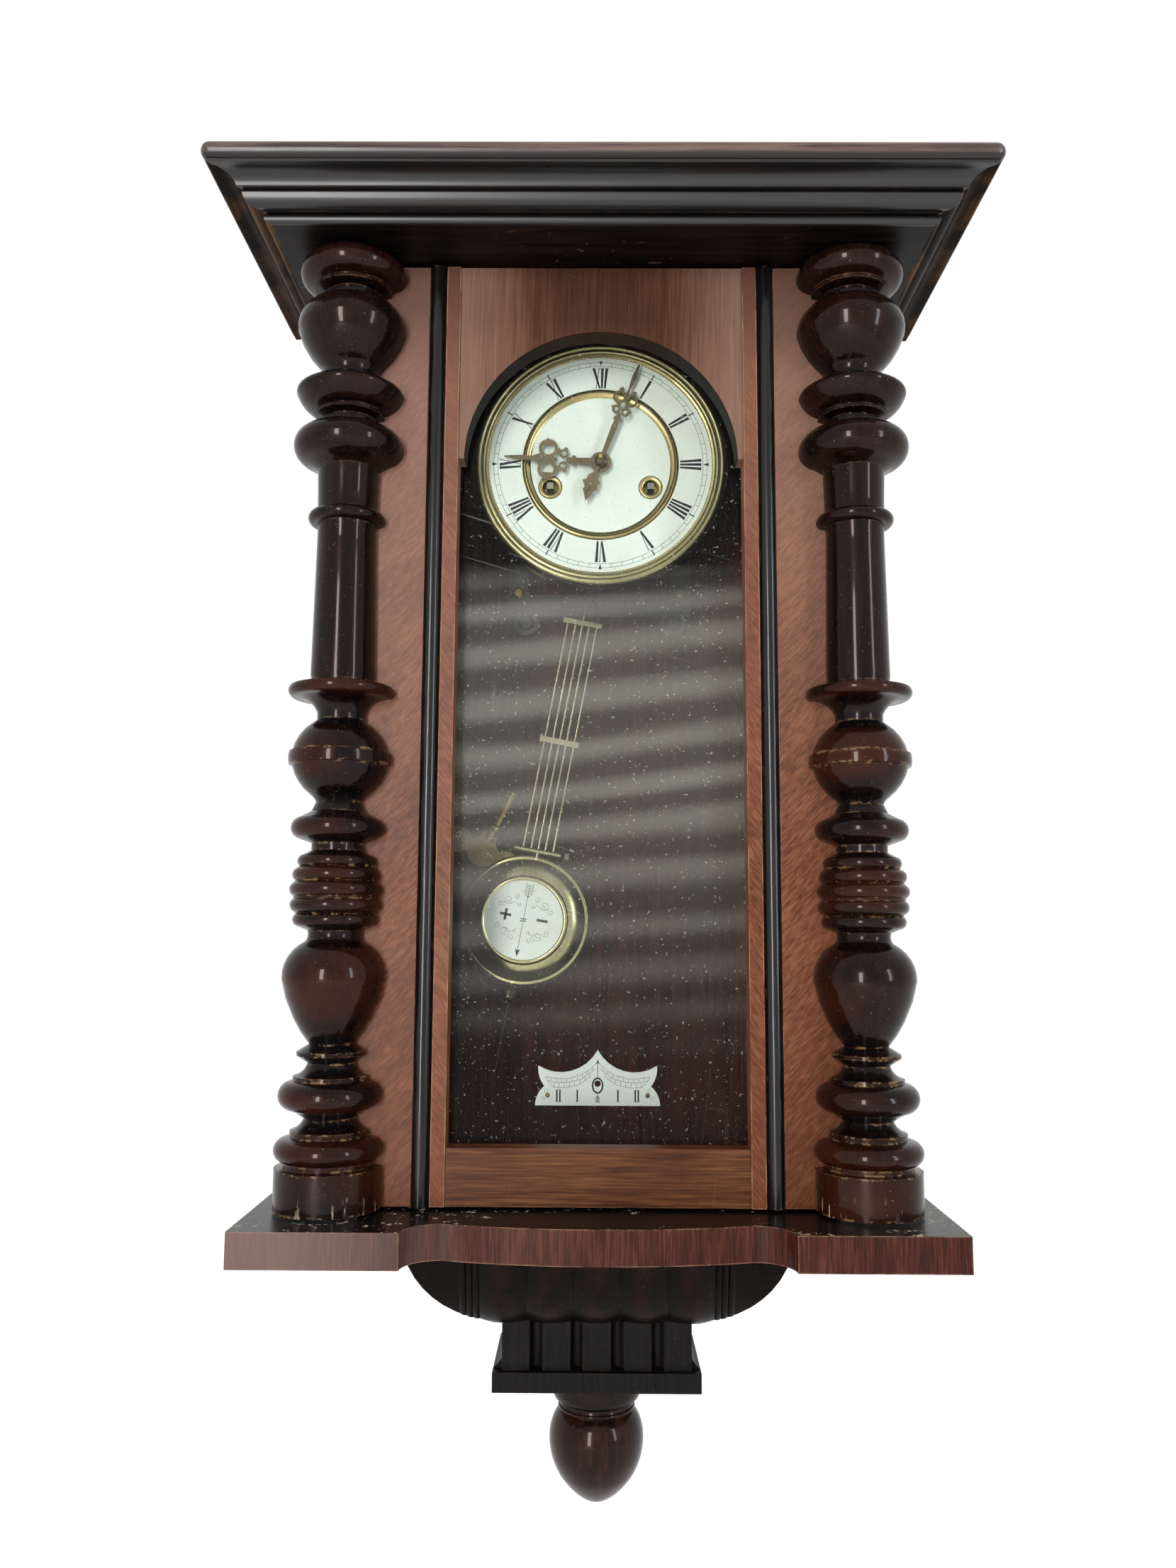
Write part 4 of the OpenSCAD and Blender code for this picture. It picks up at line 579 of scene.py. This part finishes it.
FINISH = {
    mahogany_up: "door_left_stile door_right_stile",
    mahogany_strip: "door_inner_strips",
    mahogany_top: "door_top_rail",
    mahogany_cross: "door_bottom_rail",
    cornice_black: "cornice_front_moulding",
    cornice_side: "cornice_side_mouldings",
    soffit: "soffit_board",
    bracket_black: "fluted_bracket",
    block_black: "dentil_block",
    bead_black: "door_beads",
    turned: "left_column right_column",
    slab_wood: "cornice_slab",
    finial_wood: "finial",
    veneer: "shelf",
    inside: "backboard",
    case_wood: "case_sides",
    white: "chapter_ring dial_centre bob_disc",
    beat_white_brightened: "beat_scale",
    bezel_metal: "dial_bezel",
    gilt: "dial_brass_rings cannon_pinion",
    aged: "hanger_plate case_screws key_hook case_hinge_leaves catch_clip door_hinge_leaves catch_stud "
          "winding_key",
    plate: "front_plate back_plate suspension_cock dial_plate minute_wheel hour_wheel centre_wheel "
           "third_wheel escape_wheel time_barrel strike_barrel",
    bob_metal: "pendulum_bob",
    hand_steel: "minute_hand hour_hand",
    steel: "time_winding_arbor strike_winding_arbor anchor crutch strike_hammer pendulum_leader "
           "suspension_spring",
    rod: "pendulum_rods",
    blued: "gong",
    iron: "movement_bracket gong_stand",
    nut: "rating_nut",
    pane: "door_glass",
}
for finish, names in FINISH.items():
    for name in names.split():
        for slot in nodes[name].material_slots:
            slot.material = finish.m


# Round forms shaded smooth

SHARP, WELD = 32, 0.000002


def rounding(angle):
    """A modifier tree that joins the seams between a solid's faces and smooths edges below angle degrees."""
    g = bpy.data.node_groups.new("rounding", "GeometryNodeTree")
    g.interface.new_socket("Geometry", in_out="INPUT", socket_type="NodeSocketGeometry")
    g.interface.new_socket("Geometry", in_out="OUTPUT", socket_type="NodeSocketGeometry")

    def node(kind):
        return g.nodes.new(kind)

    start, end = node("NodeGroupInput"), node("NodeGroupOutput")
    weld, plain = node("GeometryNodeMergeByDistance"), node("GeometryNodeRemoveAttribute")
    weld.inputs["Distance"].default_value = WELD
    plain.inputs["Name"].default_value = "custom_normal"
    bend, soft = node("GeometryNodeInputMeshEdgeAngle"), node("FunctionNodeCompare")
    soft.operation = "LESS_THAN"
    soft.inputs[1].default_value = radians(angle)
    edges, faces = node("GeometryNodeSetShadeSmooth"), node("GeometryNodeSetShadeSmooth")
    edges.domain = "EDGE"
    g.links.new(start.outputs[0], weld.inputs[0])
    g.links.new(weld.outputs[0], plain.inputs[0])
    g.links.new(plain.outputs[0], edges.inputs[0])
    g.links.new(bend.outputs[0], soft.inputs[0])
    g.links.new(soft.outputs[0], edges.inputs["Shade Smooth"])
    g.links.new(edges.outputs[0], faces.inputs[0])
    g.links.new(faces.outputs[0], end.inputs[0])
    return g


round_forms = rounding(SHARP)
for name in ("left_column right_column finial fluted_bracket cornice_front_moulding cornice_side_mouldings "
             "door_beads dial_bezel dial_brass_rings pendulum_bob rating_nut winding_key cannon_pinion "
             "pendulum_rods beat_scale shelf door_top_rail").split():
    nodes[name].modifiers.new("rounding", "NODES").node_group = round_forms


# Printed and milled details, made as thin solids

class Print:
    """Flat shapes drawn in millimetres on a plane, raised towards the front by a hair."""

    def __init__(self, origin, u=(1, 0, 0), v=(0, 0, 1), high=0.06):
        self.o, self.u, self.v, self.high = Vector(origin), Vector(u), Vector(v), high
        self.points, self.faces = [], []

    def at(self, x, y, lift=0.0):
        """The place in metres of (x, y) on the plane, lifted towards the front."""
        return (self.o + self.u * x + self.v * y - Vector((0, 1, 0)) * lift) / 1000

    def shape(self, pts):
        """A closed outline as a thin prism."""
        area = sum(a[0] * b[1] - b[0] * a[1] for a, b in zip(pts, pts[1:] + pts[:1]))
        if area < 0:
            pts = pts[::-1]
        n, k = len(pts), len(self.points)
        self.points += [self.at(x, y) for x, y in pts] + [self.at(x, y, self.high) for x, y in pts]
        self.faces.append([k + n + i for i in range(n)])
        self.faces.append([k + n - 1 - i for i in range(n)])
        self.faces += [[k + i, k + (i + 1) % n, k + n + (i + 1) % n, k + n + i] for i in range(n)]

    def stroke(self, pts, width, tip=None):
        """A line through pts, width wide at its start and tip wide at its end."""
        tip = width if tip is None else tip
        left, back = [], []
        for i, (x, y) in enumerate(pts):
            a, b = pts[max(0, i - 1)], pts[min(len(pts) - 1, i + 1)]
            d = hypot(b[0] - a[0], b[1] - a[1]) or 1
            w = (width + (tip - width) * i / (len(pts) - 1)) / 2
            nx, ny = -(b[1] - a[1]) / d * w, (b[0] - a[0]) / d * w
            left.append((x + nx, y + ny))
            back.append((x - nx, y - ny))
        for i in range(len(pts) - 1):
            self.shape([left[i], left[i + 1], back[i + 1], back[i]])

    def band(self, r0, r1, steps):
        """A flat ring about the origin."""
        for i in range(steps):
            a, b = 2 * pi * i / steps, 2 * pi * (i + 1) / steps
            self.shape([(r0 * cos(a), r0 * sin(a)), (r1 * cos(a), r1 * sin(a)),
                        (r1 * cos(b), r1 * sin(b)), (r0 * cos(b), r0 * sin(b))])

    def scroll(self, x, y, size, start, turns, side=1, width=0.3):
        """A tapering spiral that winds in towards (x, y)."""
        n = int(18 * turns) + 2
        pts = []
        for i in range(n):
            s = i / (n - 1)
            a = radians(start) + side * 2 * pi * turns * s
            r = size * (1 - s) ** 0.8 + size * 0.12
            pts.append((x + r * cos(a), y + r * sin(a)))
        self.stroke(pts, width * 0.5, width)

    def build(self, name, body, material):
        """The finished object, riding on body."""
        mesh = bpy.data.meshes.new(name)
        mesh.from_pydata(self.points, [], self.faces)
        mesh.materials.append(material.m)
        obj = bpy.data.objects.new(name, mesh)
        bpy.context.scene.collection.objects.link(obj)
        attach(obj, body)
        return obj


# Dial: closed minute track and radial Roman hours; all in millimetres
DIAL = (0, -82.0, -64)
R_IN, R_OUT = 46.1, 58.4
TRACK = ((59.3, 59.5), (61.7, 61.9))
QUARTER = [(59.5, 0), (62.6, 1.0), (62.6, -1.0)]
FIFTH = [(59.0, 0.32), (62.6, 0.32), (62.6, -0.32), (59.0, -0.32)]
SINGLE = [(59.4, 0.1), (61.8, 0.1), (61.8, -0.1), (59.4, -0.1)]
WIDE = {"I": 2.6, "V": 4.4, "X": 4.4}
HOURS = ["XII", "I", "II", "III", "IIII", "V", "VI", "VII", "VIII", "IX", "X", "XI"]
dial = Print(DIAL)


def numeral(text, hour):
    """Letters with their feet to the centre, narrower towards it."""
    turn = radians(-30 * hour)

    def spot(x, t):
        r = R_IN + (R_OUT - R_IN) * t
        x *= 0.66 + 0.34 * t
        return (x * cos(turn) - r * sin(turn), x * sin(turn) + r * cos(turn))

    def leg(x0, x1, w):
        """A stroke from x0 at the inner end to x1 at the outer end."""
        dial.shape([spot(x0 - w / 2, 0), spot(x0 + w / 2, 0), spot(x1 + w / 2, 1), spot(x1 - w / 2, 1)])

    def serif(x, t, w):
        e = 0.02 if t < 0.5 else -0.02
        dial.shape([spot(x - w / 2, t), spot(x + w / 2, t), spot(x + w / 2, t + e), spot(x - w / 2, t + e)])

    x = -sum(WIDE[c] for c in text) / 2
    for c in text:
        mid, half = x + WIDE[c] / 2, WIDE[c] / 2 - 0.6
        if c == "I":
            leg(mid, mid, 1.65)
            serif(mid, 0, 2.1)
            serif(mid, 1, 2.1)
        elif c == "V":
            leg(mid, mid - half + 0.3, 1.6)
            leg(mid + 0.4, mid + half, 0.45)
            serif(mid - half + 0.3, 1, 2.1)
            serif(mid + half, 1, 1.2)
        else:
            leg(mid + half, mid - half, 1.6)
            leg(mid - half, mid + half, 0.45)
            for s in (-1, 1):
                serif(mid + s * half, 1, 1.6)
                serif(mid + s * half, 0, 1.6)
        x += WIDE[c]


for hour, text in enumerate(HOURS):
    numeral(text, hour)
for inner, outer in TRACK:
    dial.band(inner, outer, 180)
for minute in range(60):
    a = radians(6 * minute)
    out, side = (sin(a), cos(a)), (cos(a), -sin(a))
    tips = QUARTER if minute % 15 == 0 else FIFTH if minute % 5 == 0 else SINGLE
    dial.shape([(r * out[0] + w * side[0], r * out[1] + w * side[1]) for r, w in tips])
dial.build("dial_print", "case", black_ink)

# Milled ring between the chapter ring and the bezel
COUNT, STEP, SIDES = 210, 4, 8
RING_R, RING_LIFT, THICK, WAVE, SLANT = 65.15, 0.35, 0.62, 0.22, 0.004
ridges = Print((0, 0, 0))
total = COUNT * STEP
for i in range(total):
    a = 2 * pi * i / total
    swell = THICK + WAVE * cos(2 * pi * i / STEP)
    for j in range(SIDES):
        b = 2 * pi * j / SIDES
        r = RING_R + swell * cos(b)
        point = (r * sin(a + SLANT * sin(b)), DIAL[1] - RING_LIFT - swell * sin(b), DIAL[2] + r * cos(a))
        ridges.points.append(Vector(point) / 1000)
for i in range(total):
    here, there = SIDES * i, SIDES * ((i + 1) % total)
    ridges.faces += [[here + j, here + (j + 1) % SIDES, there + (j + 1) % SIDES, there + j]
                     for j in range(SIDES)]
ring = ridges.build("milled_ring", "case", gilt)
for face in ring.data.polygons:
    face.use_smooth = True

# Bob disc: an arrow along the rod, plus and minus signs and small scrolls
LEAN, HOOK_Z, BOB_REACH = radians(10.6), -92, 238.4
bob_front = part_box("bob_disc")[0][1] * 1000
bob_mid = (-BOB_REACH * sin(LEAN), bob_front, HOOK_Z - BOB_REACH * cos(LEAN))
bob_u, bob_v = (cos(LEAN), 0, -sin(LEAN)), (sin(LEAN), 0, cos(LEAN))
mark = Print(bob_mid, bob_u, bob_v)
mark.stroke([(0, 20.5), (0, -19)], 0.28)
mark.shape([(0, -21.5), (1.5, -17), (0, -18), (-1.5, -17)])
for s in (-1, 1):
    for i in range(5):
        y = 21.2 - 1.5 * i
        mark.stroke([(0, y - 1.6), (s * 2.1, y)], 0.25)
    mark.stroke([(s * 2.1, 21.2), (s * 2.1, 15.2), (0, 13.4)], 0.22)
    mark.stroke([(-1.9, s * 0.65 - 0.1), (1.9, s * 0.65 + 0.1)], 0.5)
mark.stroke([(-14.2, 1.5), (-7.6, 1.5)], 1.5)
mark.stroke([(-10.9, -1.8), (-10.9, 4.8)], 1.5)
mark.stroke([(7.6, 1.5), (14.2, 1.5)], 1.5)
mark.build("bob_signs", "pendulum", black_ink)
FAINT = 0.04
# Each scroll's x, y, size, start in degrees and number of turns
SCROLLS = ((10.5, 10.2, 2.6, 200, 1.4), (6.2, 12.6, 1.7, 20, 1.2), (14.8, 7.4, 1.8, 120, 1.2),
           (9.8, -8.0, 2.7, 150, 1.4), (14.2, -5.4, 1.7, 240, 1.2), (5.4, -11.4, 1.8, 330, 1.2),
           (4.2, 8.2, 1.1, 90, 1.0), (4.0, -7.0, 1.1, 270, 1.0))
curl = Print(bob_mid, bob_u, bob_v, FAINT)
for s in (-1, 1):
    for x, y, size, start, turns in SCROLLS:
        curl.scroll(s * x, y, size, start if s > 0 else 180 - start, turns, s, 0.34)
    curl.stroke([(s * 4.2, 7.4), (s * 6.4, 9.6), (s * 9.6, 8.2), (s * 13.4, 8.6)], 0.2)
    curl.stroke([(s * 4.0, -6.2), (s * 6.2, -8.6), (s * 9.2, -6.2), (s * 13.2, -6.4)], 0.2)
curl.build("bob_scrolls", "pendulum", grey_ink)

# Beat scale: beat marks, an arrow through a ring, coursed lines and corner scrolls
BEAT_Z = -436.5
MARKS_X, MARK_FOOT, MARK_HEAD = (12.2, 22.6, 24.4), 2.3, 9.1
RING_Z, RING_HALF_X, RING_HALF_Z = 11.8, 3.0, 4.3
beat_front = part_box("beat_scale")[0][1] * 1000
beat = Print((0, beat_front, BEAT_Z))
for s in (-1, 1):
    for x in MARKS_X:
        beat.stroke([(s * x, MARK_FOOT), (s * x, MARK_HEAD)], 0.95)
        for y in (MARK_FOOT, MARK_HEAD):
            beat.stroke([(s * x - 0.8, y), (s * x + 0.8, y)], 0.25)
beat.stroke([(0, 1.6), (0, 7.2)], 0.35)
beat.stroke([(0, 16.2), (0, 25.6)], 0.35)
beat.shape([(0, 27.2), (1.0, 24.4), (0, 25.0), (-1.0, 24.4)])
for s in (-1, 1):
    for y in (5.6, 4.4, 3.2):
        beat.stroke([(0, y), (s * 1.3, y - 1.6)], 0.35)
angles = [2 * pi * i / 28 for i in range(29)]
beat.stroke([(RING_HALF_X * cos(a), RING_Z + RING_HALF_Z * sin(a)) for a in angles], 1.0)
beat.build("beat_marks", "case", black_ink)
lines = Print((0, beat_front, BEAT_Z), high=FAINT)
COURSES = (((0.4, 25.3), (5, 21), (10, 18), (18, 15.7), (25, 15.9), (31.5, 16.8)),
           ((1.4, 21.6), (5, 18.9), (10, 15.4), (18, 13.5), (25, 13.4), (30, 14.6)),
           ((4.2, 17.2), (7.5, 14.6), (12, 11.9), (20, 10.4), (26.3, 10.6)))


def height_on(course, x):
    """Height of a course's line at x, or None beyond its ends."""
    for (x0, y0), (x1, y1) in zip(course, course[1:]):
        if x0 <= x <= x1:
            return y0 + (y1 - y0) * (x - x0) / (x1 - x0)
    return None


for s in (-1, 1):
    for course in COURSES:
        lines.stroke([(s * x, y) for x, y in course], 0.24)
    lines.stroke([(s * 31.5, 16.8), (s * 29.5, 13.8), (s * 26.3, 10.6)], 0.24)
    for row in (0, 1):
        for i in range(9):
            x = 3.0 + 3.1 * i + 1.5 * row
            top, bottom = height_on(COURSES[row], x), height_on(COURSES[row + 1], x)
            if top and bottom:
                lines.stroke([(s * x, top), (s * x, bottom)], 0.22)
    lines.scroll(s * 30.6, 8.4, 1.4, 90 + s * 60, 1.1, -s, 0.3)
    lines.scroll(s * 32.2, 4.2, 1.2, -90 + s * 40, 1.1, s, 0.3)
lines.build("beat_lines", "case", grey_ink)


# Studio: pale floor far below the hanging clock, white surroundings, soft lamps

SKY_LIGHT = 0.48
FLOOR_Z, FLOOR_HALF, FLOOR_GLOW = -0.9, 9, 0.62


def window(t, strength):
    """1 for what is seen directly, mirrored or through glass, and strength for all other light."""
    path = t.nodes.new("ShaderNodeLightPath")
    seen = path.outputs["Is Camera Ray"]
    for ray in ("Is Glossy Ray", "Is Transmission Ray"):
        n = t.nodes.new("ShaderNodeMath")
        n.operation = "MAXIMUM"
        t.links.new(seen, n.inputs[0])
        t.links.new(path.outputs[ray], n.inputs[1])
        seen = n.outputs[0]
    n = t.nodes.new("ShaderNodeMapRange")
    n.inputs[3].default_value = strength
    n.inputs[4].default_value = 1
    t.links.new(seen, n.inputs[0])
    return n.outputs[0]


world = bpy.data.worlds.new("studio")
world.use_nodes = True
sky = world.node_tree.nodes["Background"]
sky.inputs[0].default_value = (1, 1, 1, 1)
world.node_tree.links.new(window(world.node_tree, SKY_LIGHT), sky.inputs[1])
bpy.context.scene.world = world

floor_mesh = bpy.data.meshes.new("floor")
corners = [(x * FLOOR_HALF, y * FLOOR_HALF, FLOOR_Z) for x, y in ((-1, -1), (1, -1), (1, 1), (-1, 1))]
floor_mesh.from_pydata(corners, [], [(0, 1, 2, 3)])
pale = Mat("pale_floor", Specular_IOR_Level=0.0)
pale.set("Base Color", colour(236, 236, 234))
pale.set("Roughness", pale.span(pale.noise(pale.place, 3, 2), 0, 1, 0.85, 0.95))
pale.set("Emission Color", (1, 1, 1, 1))
pale.set("Emission Strength", pale.calc("MULTIPLY", window(pale.t, 0.0), FLOOR_GLOW))
floor_mesh.materials.append(pale.m)
floor = bpy.data.objects.new("floor", floor_mesh)
bpy.context.scene.collection.objects.link(floor)


def lamp(name, place, aim, width, height, power, tint=(1, 1, 1)):
    """A soft oblong lamp at place that points at aim; sizes in metres, power in watts."""
    data = bpy.data.lights.new(name, "AREA")
    data.shape = "RECTANGLE"
    data.size, data.size_y, data.energy, data.color = width, height, power, tint
    obj = bpy.data.objects.new(name, data)
    bpy.context.scene.collection.objects.link(obj)
    obj.location = place
    obj.rotation_euler = (Vector(aim) - Vector(place)).to_track_quat("-Z", "Y").to_euler()


lamp("key", (-0.72, -2.4, -0.1), (0, -0.1, -0.28), width=0.34, height=1.4, power=36.5)
lamp("side", (1.35, -1.3, 0.0), (0, -0.1, -0.3), width=0.2, height=1.0, power=10, tint=(0.78, 0.88, 1))

bpy.context.scene.view_settings.view_transform = "Standard"

bpy.context.view_layer.update()
